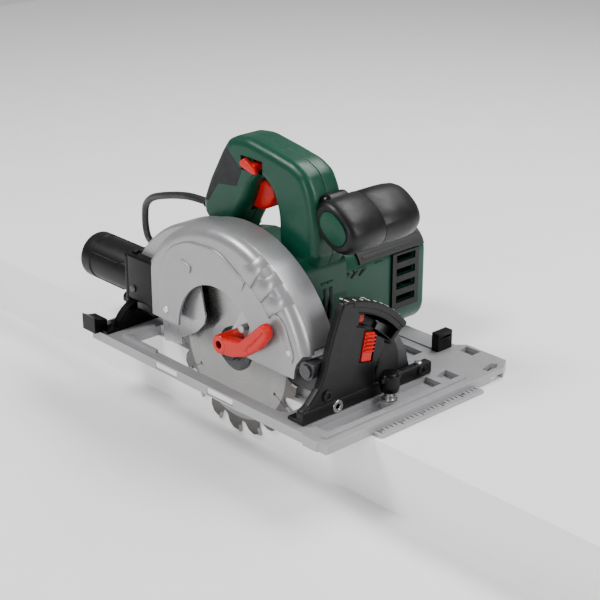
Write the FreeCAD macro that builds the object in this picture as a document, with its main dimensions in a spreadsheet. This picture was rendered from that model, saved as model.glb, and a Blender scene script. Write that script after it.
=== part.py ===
"""Circular saw with a guide-rail base: blade, swinging guard, depth pivot, bevel quadrant, motor and handles.

Frame: +X is the cutting direction, +Y points from the blade to the motor, +Z is up.
The origin lies on the sole, in the blade's plane, straight under the arbor. Lengths are millimetres.
"""
import FreeCAD, Part
import math
import os

import Sketcher

Vector = FreeCAD.Vector
Rotation = FreeCAD.Rotation
Placement = FreeCAD.Placement

doc = FreeCAD.newDocument("rail_saw")
sheet = doc.addObject("Spreadsheet::Sheet", "dims")
NODES = {}

ALONG_X = Rotation(Vector(0, 1, 0), 90)
ALONG_Y = Rotation(Vector(1, 0, 0), -90)
ALONG_Z = Rotation()
TURNS = {"x": ALONG_X, "y": ALONG_Y, "z": ALONG_Z}


# ---------------------------------------------------------------- driving dimensions

class Size:
    """A length that knows its value and the spreadsheet formula it comes from."""

    def __init__(self, value, formula):
        self.value = value
        self.formula = formula

    def _join(self, other, sign, value):
        text = other.formula if isinstance(other, Size) else repr(float(other))
        return Size(value, "(%s %s %s)" % (self.formula, sign, text))

    def __add__(self, other):
        return self._join(other, "+", self.value + num(other))

    def __sub__(self, other):
        return self._join(other, "-", self.value - num(other))

    def __mul__(self, factor):
        return self._join(factor, "*", self.value * num(factor))

    def __truediv__(self, divisor):
        return self._join(divisor, "/", self.value / num(divisor))

    def __neg__(self):
        return Size(-self.value, "(-1 * %s)" % self.formula)

    def __rsub__(self, other):
        return -self + other

    __radd__ = __add__
    __rmul__ = __mul__


def num(size):
    """The plain number behind a size."""
    return size.value if isinstance(size, Size) else float(size)


def dim(alias, value):
    """Puts one driving dimension in the spreadsheet and returns it as a Size."""
    dim.row += 1
    sheet.set("A%d" % dim.row, alias)
    sheet.set("B%d" % dim.row, str(value))
    sheet.setAlias("B%d" % dim.row, alias)
    return Size(float(value), "dims." + alias)


dim.row = 0

# blade and arbor
blade_radius = dim("blade_radius", 80)
cut_depth = dim("cut_depth", 55)
arbor_height = blade_radius - cut_depth
plate_thick = dim("plate_thick", 1.4)
tooth_kerf = dim("tooth_kerf", 2.2)
tooth_count = 18
tooth_turn = 3.4
gullet_radius = dim("gullet_radius", 69)
bore_radius = dim("bore_radius", 10)
flange_radius = dim("flange_radius", 20)
flange_thick = dim("flange_thick", 4)
journal_radius = dim("journal_radius", 8.5)
run_gap = dim("run_gap", 0.04)

# gears and armature
gear_module = dim("gear_module", 0.8)
wheel_teeth = 54
pinion_teeth = 12
gear_centres = gear_module * ((wheel_teeth + pinion_teeth) / 2)
motor_height = arbor_height + gear_centres
gear_start = dim("gear_start", 32)
gear_width = dim("gear_width", 12)
armature_radius = dim("armature_radius", 21)
shaft_radius = dim("shaft_radius", 4)

# base plate
base_rear = dim("base_rear", -158)
base_front = dim("base_front", 163)
base_near = dim("base_near", -46.5)
base_far = dim("base_far", 181)
base_thick = dim("base_thick", 9)
floor_thick = dim("floor_thick", 3.5)
lip_reach = dim("lip_reach", 9.7)
groove_width = dim("groove_width", 16.4)
groove_depth = dim("groove_depth", 4.5)
groove_centre = dim("groove_centre", 158)
channel_width = dim("channel_width", 21)
channel_start = dim("channel_start", 129)

# bevel brackets
quadrant_radius = dim("quadrant_radius", 104)
quadrant_back = dim("quadrant_back", 119.5)
quadrant_thick = dim("quadrant_thick", 7.5)
window_outer = dim("window_outer", 93)
window_inner = dim("window_inner", 83)
tilt_back = dim("tilt_back", 112.5)
tilt_thick = dim("tilt_thick", 6.5)
quadrant_screws = ((114, -29), (123.2, 100))
rear_plate_back = dim("rear_plate_back", -138)
rear_plate_thick = dim("rear_plate_thick", 8)
rear_slot_radius = dim("rear_slot_radius", 30)
rear_slot_width = dim("rear_slot_width", 5.2)
rear_plate_radius = dim("rear_plate_radius", 34.9)
rear_screws = ((-145, -33.5), (-145, 12))

# depth pivot
pivot_ahead = dim("pivot_ahead", 111)
pivot_height = dim("pivot_height", 47)
pivot_barrel = dim("pivot_barrel", 8)
pivot_pin = dim("pivot_pin", 4)
depth_arc_radius = dim("depth_arc_radius", 180)
depth_clamp_angle = 186.5
depth_travel = 28.0

# upper guard
guard_radius = dim("guard_radius", 114.5)
guard_near = dim("guard_near", -22)
guard_split = dim("guard_split", -9)
guard_far = dim("guard_far", 14)
guard_wall = dim("guard_wall", 2.5)
guard_bottom = dim("guard_bottom", 36)
duct_radius = dim("duct_radius", 127.5)
duct_back = dim("duct_back", -16)
duct_height = dim("duct_height", 8)
arch_radius = dim("arch_radius", 53)
arch_height = dim("arch_height", 35)

# lower guard
shield_radius = dim("shield_radius", 88)
shield_wall = dim("shield_wall", 1.6)
shield_near = dim("shield_near", -12)
shield_far = dim("shield_far", 9)
neck_radius = dim("neck_radius", 22.6)

# motor housing
housing_half = dim("housing_half", 46.5)
housing_height = dim("housing_height", 57)
housing_start = dim("housing_start", 64)
housing_end = dim("housing_end", 190)
housing_wall = dim("housing_wall", 3)
cap_start = dim("cap_start", 132)

# handles
handle_near = dim("handle_near", 25)
handle_far = dim("handle_far", 63)
handle_split = dim("handle_split", 44)
bar_start = dim("bar_start", 30)
bar_joint = dim("bar_joint", 68)
bar_end = dim("bar_end", 114)
bar_ahead = dim("bar_ahead", 88)
bar_height = dim("bar_height", 151)
bar_slope = -32.0

# dust port and cord
port_radius = dim("port_radius", 22)
port_bore = dim("port_bore", 18)
port_end = dim("port_end", -203)
port_across = dim("port_across", 2)
port_height = dim("port_height", 56.5)
cord_radius = dim("cord_radius", 3.5)
coil_inner = dim("coil_inner", 25)
coil_outer = dim("coil_outer", 58)
coil_height = dim("coil_height", 29)


# ---------------------------------------------------------------- building helpers

def bind(obj, prop, size):
    """Sets a property to a number, or ties it to the spreadsheet."""
    holder = obj
    names = prop.split(".")
    if isinstance(size, Size):
        obj.setExpression(prop, size.formula)
    elif len(names) == 1:
        setattr(holder, prop, size)
    else:
        placement = obj.Placement.copy()
        setattr(placement.Base, names[-1], float(size))
        base = placement.Base
        obj.Placement = Placement(base, placement.Rotation)


def place(obj, corner, turn=ALONG_Z):
    """Puts an object's own origin at a corner, each coordinate a number or a Size."""
    obj.Placement = Placement(Vector(*[num(c) for c in corner]), turn)
    for axis, value in zip("xyz", corner):
        if isinstance(value, Size):
            obj.setExpression("Placement.Base." + axis, value.formula)
    return obj


def box(name, corner, sides):
    """A block from its lowest corner and its three sides."""
    obj = doc.addObject("Part::Box", name)
    for prop, side in zip(("Length", "Width", "Height"), sides):
        setattr(obj, prop, num(side))
        bind(obj, prop, side)
    return place(obj, corner)


def rod(name, axis, start, radius, length):
    """A cylinder along x, y or z, from the centre of its first end."""
    obj = doc.addObject("Part::Cylinder", name)
    obj.Radius = num(radius)
    obj.Height = num(length)
    bind(obj, "Radius", radius)
    bind(obj, "Height", length)
    return place(obj, start, TURNS[axis])


def fuse(name, parts):
    """One solid from several that touch."""
    obj = doc.addObject("Part::MultiFuse", name)
    obj.Shapes = parts
    obj.Refine = True
    return obj


def cut(name, base, tools):
    """The base with one or more tools taken away."""
    tool = tools[0] if len(tools) == 1 else fuse(name + "_tools", tools)
    obj = doc.addObject("Part::Cut", name)
    obj.Base = base
    obj.Tool = tool
    obj.Refine = True
    return obj


def common(name, first, second):
    """What two shapes share."""
    obj = doc.addObject("Part::MultiCommon", name)
    obj.Shapes = [first, second]
    obj.Refine = True
    return obj


def group(name, parts):
    """Separate solids kept in one node, such as a set of screws."""
    obj = doc.addObject("Part::Compound", name)
    obj.Links = parts
    return obj


def shaped(name, shape):
    """A sub-part whose shape is worked out with Part's own functions."""
    obj = doc.addObject("Part::Feature", name)
    obj.Shape = shape
    obj.Placement = Placement()
    return obj


def rounded(name, base, radius, wanted):
    """Rounds the edges of a shape that the test picks by their middle point and direction."""
    doc.recompute()
    obj = doc.addObject("Part::Fillet", name)
    obj.Base = base
    obj.Edges = [(i + 1, radius, radius) for i in edge_numbers(base.Shape, wanted)]
    return obj


def edge_numbers(shape, wanted):
    """Indices of the edges whose middle point and direction pass the test."""
    found = []
    for i, edge in enumerate(shape.Edges):
        if edge.Length < 0.5:
            continue
        first, last = edge.ParameterRange
        middle = edge.valueAt((first + last) / 2)
        direction = edge.tangentAt((first + last) / 2)
        if wanted(middle, direction):
            found.append(i)
    return found


def node(name, obj):
    """Registers a finished sub-part under its own label."""
    obj.Label = name
    NODES[name] = obj
    return obj


def new_body(name):
    """An empty PartDesign body."""
    return doc.addObject("PartDesign::Body", name)


def sketch_on(body, name, role, offset=0.0):
    """A sketch on one of a body's own origin planes, moved along that plane's normal."""
    sketch = body.newObject("Sketcher::SketchObject", name)
    plane = [f for f in body.Origin.OriginFeatures if f.Role == role][0]
    sketch.AttachmentSupport = (plane, [""])
    sketch.MapMode = "FlatFace"
    sketch.AttachmentOffset = Placement(Vector(0, 0, num(offset)), Rotation())
    if isinstance(offset, Size):
        sketch.setExpression("AttachmentOffset.Base.z", offset.formula)
    return sketch


def pin_point(sketch, geometry, point, along, size):
    """Ties one coordinate of a sketch point to a size, measured from the sketch's origin."""
    value = num(size)
    if abs(value) < 1e-9 and not isinstance(size, Size):
        sketch.addConstraint(Sketcher.Constraint("PointOnObject", geometry, point, -2 if along == "DistanceX" else -1))
        return
    ends = (-1, 1, geometry, point) if value >= 0 else (geometry, point, -1, 1)
    number = sketch.addConstraint(Sketcher.Constraint(along, *ends, abs(value)))
    if isinstance(size, Size):
        sign = "" if value >= 0 else "-1 * "
        sketch.setExpression("Constraints[%d]" % number, sign + size.formula)


def polygon(sketch, corners):
    """A closed outline of straight sides through the corners, every corner tied to its sizes."""
    first = sketch.GeometryCount
    count = len(corners)
    for i in range(count):
        a, b = corners[i], corners[(i + 1) % count]
        line = Part.LineSegment(Vector(num(a[0]), num(a[1]), 0), Vector(num(b[0]), num(b[1]), 0))
        sketch.addGeometry(line, False)
    for i in range(count):
        sketch.addConstraint(Sketcher.Constraint("Coincident", first + i, 2, first + (i + 1) % count, 1))
        pin_point(sketch, first + i, 1, "DistanceX", corners[i][0])
        pin_point(sketch, first + i, 1, "DistanceY", corners[i][1])


def circle(sketch, centre, radius):
    """A circle with its centre and radius tied to their sizes."""
    spot = Vector(num(centre[0]), num(centre[1]), 0)
    index = sketch.addGeometry(Part.Circle(spot, Vector(0, 0, 1), num(radius)), False)
    number = sketch.addConstraint(Sketcher.Constraint("Radius", index, num(radius)))
    if isinstance(radius, Size):
        sketch.setExpression("Constraints[%d]" % number, radius.formula)
    pin_point(sketch, index, 3, "DistanceX", centre[0])
    pin_point(sketch, index, 3, "DistanceY", centre[1])


def pad(body, sketch, length, name, backwards=False):
    """Extrudes a sketch into the body."""
    feature = body.newObject("PartDesign::Pad", name)
    feature.Profile = sketch
    feature.Length = num(length)
    bind(feature, "Length", length)
    feature.Reversed = backwards
    return feature


def pocket(body, sketch, depth, name, backwards=False):
    """Cuts a sketch out of the body, and makes sure that it removed something."""
    doc.recompute()
    before = body.Shape.Volume
    feature = body.newObject("PartDesign::Pocket", name)
    feature.Profile = sketch
    feature.Length = num(depth)
    bind(feature, "Length", depth)
    feature.Reversed = backwards
    doc.recompute()
    if body.Shape.Volume > before - 1e-3:
        raise RuntimeError(name + " cuts nothing")
    return feature


def prism(name, role, outline, start, length):
    """A body made by one pad: a straight-sided outline from start, along the plane's positive world axis."""
    body = new_body(name)
    flip = role == "XZ_Plane"
    sketch = sketch_on(body, name + "_outline", role, -start if flip and isinstance(start, Size)
                       else (-start if flip else start))
    polygon(sketch, outline)
    pad(body, sketch, length, name + "_pad", backwards=flip)
    return body


def turned(name, axis, start, profile):
    """A solid of revolution about an axis through start; the profile lists (distance along, radius)."""
    body = new_body(name)
    sketch = sketch_on(body, name + "_profile", "XZ_Plane")
    points = [(radius, along) for along, radius in profile]
    polygon(sketch, points)
    feature = body.newObject("PartDesign::Revolution", name + "_turn")
    feature.Profile = sketch
    feature.ReferenceAxis = (sketch, ["V_Axis"])
    feature.Angle = 360
    return place(body, start, TURNS[axis])


def ring(name, axis, start, inner, outer, length):
    """A plain ring, such as a bearing, along x, y or z."""
    return turned(name, axis, start, [(0, inner), (0, outer), (length, outer), (length, inner)])


def polar(radius, degrees, across=0.0, up=0.0):
    """A point at a radius and an angle, counted from the first axis towards the second."""
    angle = math.radians(degrees)
    return (across + radius * math.cos(angle), up + radius * math.sin(angle))


def arc_points(radius, start, end, steps, across=0.0, up=0.0):
    """Corners spaced evenly along an arc."""
    return [polar(radius, start + (end - start) * i / steps, across, up) for i in range(steps + 1)]


def flat_face(points, plane, offset):
    """A face through corner points given in the xz or yz plane, at an offset along the third axis."""
    if plane == "xz":
        corners = [Vector(a, offset, b) for a, b in points]
    elif plane == "yz":
        corners = [Vector(offset, a, b) for a, b in points]
    else:
        corners = [Vector(a, b, offset) for a, b in points]
    return Part.Face(Part.makePolygon(corners + corners[:1]))


# ---------------------------------------------------------------- blade, spindle and flanges

def make_blade():
    body = new_body("blade")
    outline = sketch_on(body, "blade_disc", "XZ_Plane", plate_thick / 2)
    circle(outline, (0, 0), blade_radius - 1.0)
    circle(outline, (0, 0), bore_radius)
    pad(body, outline, plate_thick, "blade_plate", backwards=True)
    doc.recompute()

    tip = num(blade_radius)
    root = num(gullet_radius)
    face = -90 + tooth_turn
    gullet = [polar(root + 4.5, face - 1.5), polar(root + 4.5, face), polar(root, face + 1),
              polar(root - 1.2, face + 3), polar(root + 0.5, face + 6), polar(root + 6, face + 8.5),
              polar(tip - 1.8, face + 12), polar(tip + 3, face + 18.4), polar(tip + 5, face + 10),
              polar(tip + 5, face - 1.5)]
    notch = sketch_on(body, "gullet", "XZ_Plane", plate_thick)
    polygon(notch, gullet)
    cutter = pocket(body, notch, plate_thick * 2, "gullet_cut")
    gullets = body.newObject("PartDesign::PolarPattern", "gullets")
    gullets.Originals = [cutter]
    gullets.Axis = (notch, ["N_Axis"])
    gullets.Angle = 360
    gullets.Occurrences = tooth_count
    body.Tip = gullets
    doc.recompute()

    slot_start = num(gullet_radius) - 12
    middle = -90 + 62.3
    slot = sketch_on(body, "relief_slot", "XZ_Plane", plate_thick)
    half = 0.35
    along = Vector(*polar(1, middle), 0)
    side = Vector(-along.y, along.x, 0)
    ends = [along * slot_start - side * half, along * (num(gullet_radius) + 4) - side * half,
            along * (num(gullet_radius) + 4) + side * half, along * slot_start + side * half]
    polygon(slot, [(p.x, p.y) for p in ends])
    slot_cut = pocket(body, slot, plate_thick * 2, "relief_slot_cut")
    dot = sketch_on(body, "relief_hole", "XZ_Plane", plate_thick)
    circle(dot, polar(slot_start, middle), 1.7)
    dot_cut = pocket(body, dot, plate_thick * 2, "relief_hole_cut")
    relief = body.newObject("PartDesign::PolarPattern", "relief_slots")
    relief.Originals = [slot_cut, dot_cut]
    relief.Axis = (slot, ["N_Axis"])
    relief.Angle = 360
    relief.Occurrences = 3
    body.Tip = relief
    place(body, (0, 0, arbor_height))
    return node("blade", body)


def make_carbide_tips():
    """One brazed tip in the seat in front of every gullet."""
    tip, root = num(blade_radius), num(gullet_radius) + 4.5
    face = -90 + tooth_turn
    tips = []
    for i in range(tooth_count):
        turn = face + 360.0 / tooth_count * i
        outline = [polar(root, turn - 1.48), polar(root, turn), polar(tip, turn + 0.2), polar(tip - 0.5, turn - 1.48)]
        shape = outline_solid(outline, -num(tooth_kerf) / 2, num(tooth_kerf))
        shape.translate(Vector(0, 0, num(arbor_height)))
        tips.append(shape)
    node("carbide_tips", shaped("carbide_tips", Part.makeCompound(tips)))


def make_spindle_parts():
    arbor = (0, 0, arbor_height)
    half = plate_thick / 2
    node("inner_flange", turned("inner_flange", "y", (0, 0, arbor_height), [
        (-half, 4), (-half, bore_radius), (half, bore_radius), (half, flange_radius - 6), (1.5, flange_radius - 5),
        (half, flange_radius - 4), (half, flange_radius), (half + flange_thick, flange_radius - 1.5),
        (half + flange_thick, 4)]))
    node("outer_flange", turned("outer_flange", "y", (0, 0, arbor_height), [
        (-half - flange_thick, 4.2), (-half - flange_thick, flange_radius - 3), (-half - 1.5, flange_radius),
        (-half, flange_radius), (-half, 4.2)]))
    head = turned("bolt_blank", "y", arbor, [
        (-half - 11, 0), (-half - 11, 8), (-half - 10, 9), (-half - 5.5, 9), (-half - 5.5, 11),
        (-half - flange_thick, 11), (-half - flange_thick, 4), (18, 4), (18, 0)])
    socket = new_body("bolt_socket")
    hexagon = sketch_on(socket, "hexagon", "XZ_Plane")
    polygon(hexagon, [polar(3.6, 60 * i) for i in range(6)])
    pad(socket, hexagon, 6, "hexagon_pad", backwards=True)
    place(socket, (0, -half - 12, arbor_height))
    node("arbor_bolt", cut("arbor_bolt", head, [socket]))
    flange_back = half + flange_thick
    node("spindle", turned("spindle", "y", arbor, [
        (flange_back, 4), (flange_back, 11), (flange_back + 3, 11), (flange_back + 3, journal_radius - run_gap),
        (gear_start, journal_radius - run_gap), (gear_start, 9.5), (gear_start + gear_width, 9.5),
        (gear_start + gear_width, 5 - run_gap), (gear_start + gear_width + 10, 5 - run_gap),
        (gear_start + gear_width + 10, 0), (18, 0), (18, 4)]))


def gear_outline(teeth, bore, across, up, turn):
    """A spur gear's flat face: straight-flanked teeth with backlash, and a round bore."""
    module = num(gear_module)
    pitch = teeth * module / 2
    step = 360.0 / teeth
    root, tip = pitch - 1.2 * module, pitch + 0.85 * module
    corners = []
    for i in range(teeth):
        middle = turn + i * step
        for radius, share in ((root, -0.30), (pitch, -0.21), (tip, -0.10), (tip, 0.10), (pitch, 0.21), (root, 0.30)):
            corners.append(polar(radius, middle + share * step, across, up))
    face = flat_face(corners, "xz", 0)
    if bore:
        hole = Part.Face(Part.Wire(Part.makeCircle(bore, Vector(across, 0, up), Vector(0, 1, 0))))
        face = face.cut(hole)
    return face


def make_gears():
    wheel = gear_outline(wheel_teeth, 9.5, 0, num(arbor_height), 90)
    wheel.translate(Vector(0, num(gear_start), 0))
    node("drive_gear", shaped("drive_gear", wheel.extrude(Vector(0, num(gear_width), 0))))
    half_step = 180.0 / pinion_teeth
    pinion = gear_outline(pinion_teeth, 0, 0, num(motor_height), -90 + half_step)
    pinion.translate(Vector(0, num(gear_start) - 2, 0))
    teeth = pinion.extrude(Vector(0, num(gear_width) + 4, 0))
    shaft = Part.makeCylinder(num(shaft_radius) - num(run_gap), 15, Vector(0, num(gear_start) - 17, num(motor_height)),
                              Vector(0, 1, 0))
    rest = num(gear_start) + num(gear_width) + 2
    neck = Part.makeCylinder(num(shaft_radius) - num(run_gap), 172 - rest, Vector(0, rest, num(motor_height)),
                             Vector(0, 1, 0))
    node("armature_shaft", shaped("armature_shaft", teeth.fuse([shaft, neck]).removeSplitter()))


def make_armature_parts():
    axis_x, axis_z = 0, motor_height
    inner = shaft_radius - run_gap
    node("armature_core", ring("armature_core", "y", (axis_x, 92, axis_z), inner, armature_radius, 40))
    node("commutator", ring("commutator", "y", (axis_x, 138, axis_z), inner, 12, 16))
    hub = ring("fan_hub", "y", (axis_x, 73, axis_z), inner, 9, 12)
    disc = ring("fan_disc", "y", (axis_x, 73, axis_z), inner, 33, 2)
    blades = []
    for i in range(12):
        blade = doc.addObject("Part::Box", "fan_blade_%d" % i)
        blade.Length = 26
        blade.Width = 9
        blade.Height = 1.4
        turn = Rotation(Vector(0, 1, 0), 30.0 * i)
        start = turn.multVec(Vector(6.5, 0, -0.7)) + Vector(0, 74.5, 0)
        place(blade, (start.x, start.y, axis_z + start.z), turn)
        blades.append(blade)
    node("cooling_fan", fuse("cooling_fan", [hub, disc] + blades))


def make_bearings():
    seat = plate_thick / 2 + flange_thick + 3.5
    spindle_bearings = [
        ring("spindle_bearing_near", "y", (0, seat, arbor_height), journal_radius, 17.5, 10),
        ring("spindle_bearing_far", "y", (0, gear_start + gear_width + 1.5, arbor_height), 5, 11, 7)]
    node("spindle_bearings", group("spindle_bearings", spindle_bearings))
    armature_bearings = [
        ring("armature_bearing_near", "y", (0, 15.5, motor_height), shaft_radius, 8, 6),
        ring("armature_bearing_far", "y", (0, 160, motor_height), shaft_radius, 11, 7)]
    node("armature_bearings", group("armature_bearings", armature_bearings))


# ---------------------------------------------------------------- base and bevel brackets

def make_base():
    body = new_body("base_plate")
    outline = sketch_on(body, "base_outline", "XY_Plane")
    corner = 7
    polygon(outline, [
        (base_rear + corner, base_near), (base_front - 28, base_near), (base_front - 26, base_near - 2),
        (base_front - 10, base_near - 2), (base_front - 8, base_near), (base_front, base_near),
        (base_front, base_far - 14), (base_front - 9, base_far), (base_front - 55, base_far),
        (base_front - 62, base_far - 8), (base_rear + corner, base_far - 8), (base_rear, base_far - 15),
        (base_rear, base_near + corner)])
    pad(body, outline, base_thick, "base_slab")

    window = sketch_on(body, "blade_window", "XY_Plane")
    polygon(window, [
        (-114, -34), (94, -34), (100, -28), (100, 4), (94, 11), (34, 11), (34, 70), (-34, 70), (-34, 11),
        (-108, 11), (-114, 5)])
    pocket(body, window, base_thick, "window_cut", backwards=True)

    lip = box("ruler_lip", (base_front, 6, 0), (lip_reach, 124, 3))
    doc.recompute()

    floor = base_thick - floor_thick
    wells = {
        "guide_channel": [(channel_start, -30), (channel_start + channel_width, -30),
                          (channel_start + channel_width, 104), (channel_start, 104)],
        "far_well_rear": [(-150, 80), (-78, 80), (-78, 140), (-150, 140)],
        "far_well_mid": [(-70, 80), (10, 80), (10, 140), (-70, 140)],
        "far_well_front": [(18, 80), (92, 80), (92, 140), (18, 140)],
        "rear_well": [(-150, 26), (-122, 26), (-122, 72), (-150, 72)],
        "side_well_rear": [(-112, 20), (-42, 20), (-42, 72), (-112, 72)],
        "side_well_front": [(42, 20), (96, 20), (96, 72), (42, 72)],
        "corner_pocket_far": [(112, 166), (127, 166), (127, 178), (110, 178)],
        "corner_pocket_near": [(134, 111), (148, 111), (148, 127), (131, 127)],
        "curved_pocket": [(152, 150), (158, 152), (158, 164), (154, 170), (149, 166)],
    }
    for name, corners in wells.items():
        well = sketch_on(body, name, "XY_Plane", base_thick)
        polygon(well, corners)
        pocket(body, well, floor, name + "_cut")
    for number, (start, end) in enumerate([(-56, -26), (15, 49)]):
        recess = sketch_on(body, "side_recess_%d" % number, "XY_Plane", base_thick - 1.5)
        polygon(recess, [(start, base_near - 1), (end, base_near - 1), (end, base_near + 1.6),
                         (start, base_near + 1.6)])
        pocket(body, recess, base_thick - 3, "side_recess_cut_%d" % number)

    length = base_front - base_rear
    groove = box("rail_groove", (base_rear - 2, groove_centre - groove_width / 2, -1),
                 (length + 20, groove_width, groove_depth + 1))
    ridge = box("groove_ridge", (base_rear + 8, groove_centre - groove_width / 2, base_thick),
                (244, groove_width, 1.4))
    front_wall = box("front_wall", (151, -40, base_thick), (5, 167, 2.5))
    rim = []
    for name, corner, sides in (
            ("window_rim_near", (-117, -37, base_thick), (49, 3, 2.5)),
            ("window_rim_rear", (-117, -34, base_thick), (3, 32, 2.5))):
        rim.append(box(name, corner, sides))
    boss = rod("clamp_boss", "z", (139, 49, floor_thick), 8, base_thick - floor_thick)
    whole = fuse("base_solid", [body, lip, ridge, front_wall, boss] + rim)
    thread = rod("clamp_thread", "z", (139, 49, -1), 3.1, 20)
    node("base_plate", cut("base_plate", whole, [groove, thread]))


def ring_sector(name, plane, inner, outer, start, end, offset, length, across=0.0, up=0.0):
    """A slice of a ring lying in the xz or yz plane, its arcs true circles."""
    normal = Vector(0, 1, 0) if plane == "xz" else Vector(1, 0, 0)

    def spot(radius, degrees):
        a, b = polar(radius, degrees, across, up)
        return Vector(a, offset, b) if plane == "xz" else Vector(offset, a, b)

    middle = (start + end) / 2
    outer_arc = Part.Arc(spot(outer, start), spot(outer, middle), spot(outer, end)).toShape()
    inner_arc = Part.Arc(spot(inner, end), spot(inner, middle), spot(inner, start)).toShape()
    sides = [Part.LineSegment(spot(outer, end), spot(inner, end)).toShape(),
             Part.LineSegment(spot(inner, start), spot(outer, start)).toShape()]
    wire = Part.Wire([outer_arc, sides[0], inner_arc, sides[1]])
    return shaped(name, Part.Face(wire).extrude(normal * length))


def make_quadrant():
    back, thick = num(quadrant_back), num(quadrant_thick)
    radius = num(quadrant_radius)
    rim = Part.Arc(Vector(back, *polar(radius, 86)), Vector(back, *polar(radius, 62)), Vector(back, *polar(radius, 39)))
    lower = Part.Arc(Vector(back, *polar(79.5, 39)), Vector(back, *polar(79.5, 43)), Vector(back, *polar(79.5, 47)))
    arm = [(55, 54), (50, 44), (44, 34), (44, 21), (-39, 21), (-31, 25), (-20, 36), (-13, 50), (-9, 66), (-3, 82),
           (3, 97)]
    corners = [Vector(back, y, z) for y, z in arm]
    edges = [rim.toShape(), Part.LineSegment(rim.EndPoint, lower.StartPoint).toShape(), lower.toShape()]
    line = [lower.EndPoint] + corners + [rim.StartPoint]
    edges += [Part.LineSegment(a, b).toShape() for a, b in zip(line, line[1:])]
    web = shaped("quadrant_web", Part.Face(Part.Wire(edges)).extrude(Vector(thick, 0, 0)))
    band = ring_sector("quadrant_band", "yz", radius - 6, radius, 39, 80.5, back - 5, thick + 5)
    window = ring_sector("quadrant_window", "yz", num(window_inner), num(window_outer), 42, 74, back - 8, thick + 20)
    bar = box("quadrant_bar", (quadrant_back, -39, base_thick), (quadrant_thick, 152, 12))
    block = box("quadrant_block", (108, -39, base_thick), (quadrant_back - 108, 20, 3.4))
    slider_slot = doc.addObject("Part::Box", "slider_slot")
    slider_slot.Length = 6
    slider_slot.Width = 16
    slider_slot.Height = 40
    whole = fuse("quadrant_solid", [web, band, bar, block])
    holes = [rod("quadrant_hole_%d" % i, "z", (x, y, 0), 2.1, 40) for i, (x, y) in enumerate(quadrant_screws)]
    slider_slot.Placement = Placement(Vector(num(quadrant_back) + 5, 24, 46), Rotation(Vector(1, 0, 0), -12))
    node("front_quadrant", cut("front_quadrant", whole, [window, slider_slot] + holes))


def make_rear_bracket():
    """The fixed rear foot: a low bar, a corner block and the round-topped plate with the bevel's arc slot."""
    radius = num(rear_plate_radius)
    back = num(rear_plate_back)
    low = num(base_thick)
    top = Part.Arc(*[Vector(back, *polar(radius, a)) for a in (150, 100, 55)])
    corners = [top.EndPoint, Vector(back, 24, low), Vector(back, -33, low), top.StartPoint]
    edges = [top.toShape()] + [Part.LineSegment(a, b).toShape() for a, b in zip(corners, corners[1:])]
    plate = shaped("rear_plate", Part.Face(Part.Wire(edges)).extrude(Vector(num(rear_plate_thick), 0, 0)))
    bar = box("rear_bar", (-151, -45, base_thick), (21, 69, 2.5))
    block = prism("rear_block", "YZ_Plane", [(-52, base_thick), (-52, 24.4), (-49, 22.7), (-45, 21), (-40, 20),
                                             (-38, 20), (-38, base_thick)], base_rear, 19)
    slot = ring_sector("rear_slot", "yz", num(rear_slot_radius) - num(rear_slot_width) / 2,
                       num(rear_slot_radius) + num(rear_slot_width) / 2, 92, 149, -160, 60)
    holes = [rod("rear_hole_%d" % i, "z", (x, y, 0), 2.1, 40) for i, (x, y) in enumerate(rear_screws)]
    whole = fuse("rear_bracket_solid", [plate, bar, block])
    node("rear_bracket", cut("rear_bracket", whole, [slot] + holes))


def cap_screw(name, axis, head, direction, radius, length, head_radius, head_height):
    """A pan-head screw with a cross recess left plain: head and shank in one turned solid."""
    sign = 1 if direction > 0 else -1
    profile = [(0, 0), (0, head_radius), (head_height * 0.7, head_radius), (head_height, head_radius * 0.7),
               (head_height, 0)]
    shank = [(0, 0), (-length, 0), (-length, radius), (0, radius)]
    outline = shank[1:] + profile[1:]
    if sign < 0:
        outline = [(-a, r) for a, r in outline][::-1]
    return turned(name, axis, head, outline)


def make_bracket_screws():
    heads = [(x, y, z) for (x, y), z in zip(quadrant_screws + rear_screws, (12.4, 21, 11.5, 11.5))]
    screws = []
    for i, (x, y, z) in enumerate(heads):
        screws.append(cap_screw("bracket_screw_%d" % i, "z", (x, y, z), 1, 2, z - 9, 3.4, 2))
    node("bracket_screws", group("bracket_screws", screws))


def make_front_tilt_bracket():
    outline = [(4, 11), (95, 11), (88, 38), (75, 60), (57, 76), (49, 65), (38, 55), (-20, 55), (-20, 49), (1, 28)]
    plate = prism("tilt_plate", "YZ_Plane", outline, tilt_back, tilt_thick)
    lugs = []
    for name, start, length in (("near", -20, 13), ("far", 27, 11)):
        barrel = rod("lug_%s" % name, "y", (pivot_ahead, start, pivot_height), pivot_barrel, length)
        lugs += [barrel]
    relief = box("barrel_room", (90, -6.6, 36), (30, 33.2, 40))
    bore = rod("lug_bore", "y", (pivot_ahead, -60, pivot_height), pivot_pin, 120)
    whole = fuse("tilt_bracket_solid", [plate] + lugs)
    node("front_tilt_bracket", cut("front_tilt_bracket", whole, [relief, bore]))
    pin = turned("depth_pivot_pin", "y", (pivot_ahead, -22, pivot_height), [
        (0, 0), (0, 6), (1.9, 6), (1.9, pivot_pin - run_gap), (60.2, pivot_pin - run_gap), (60.2, 0)])
    node("depth_pivot_pin", pin)


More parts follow.
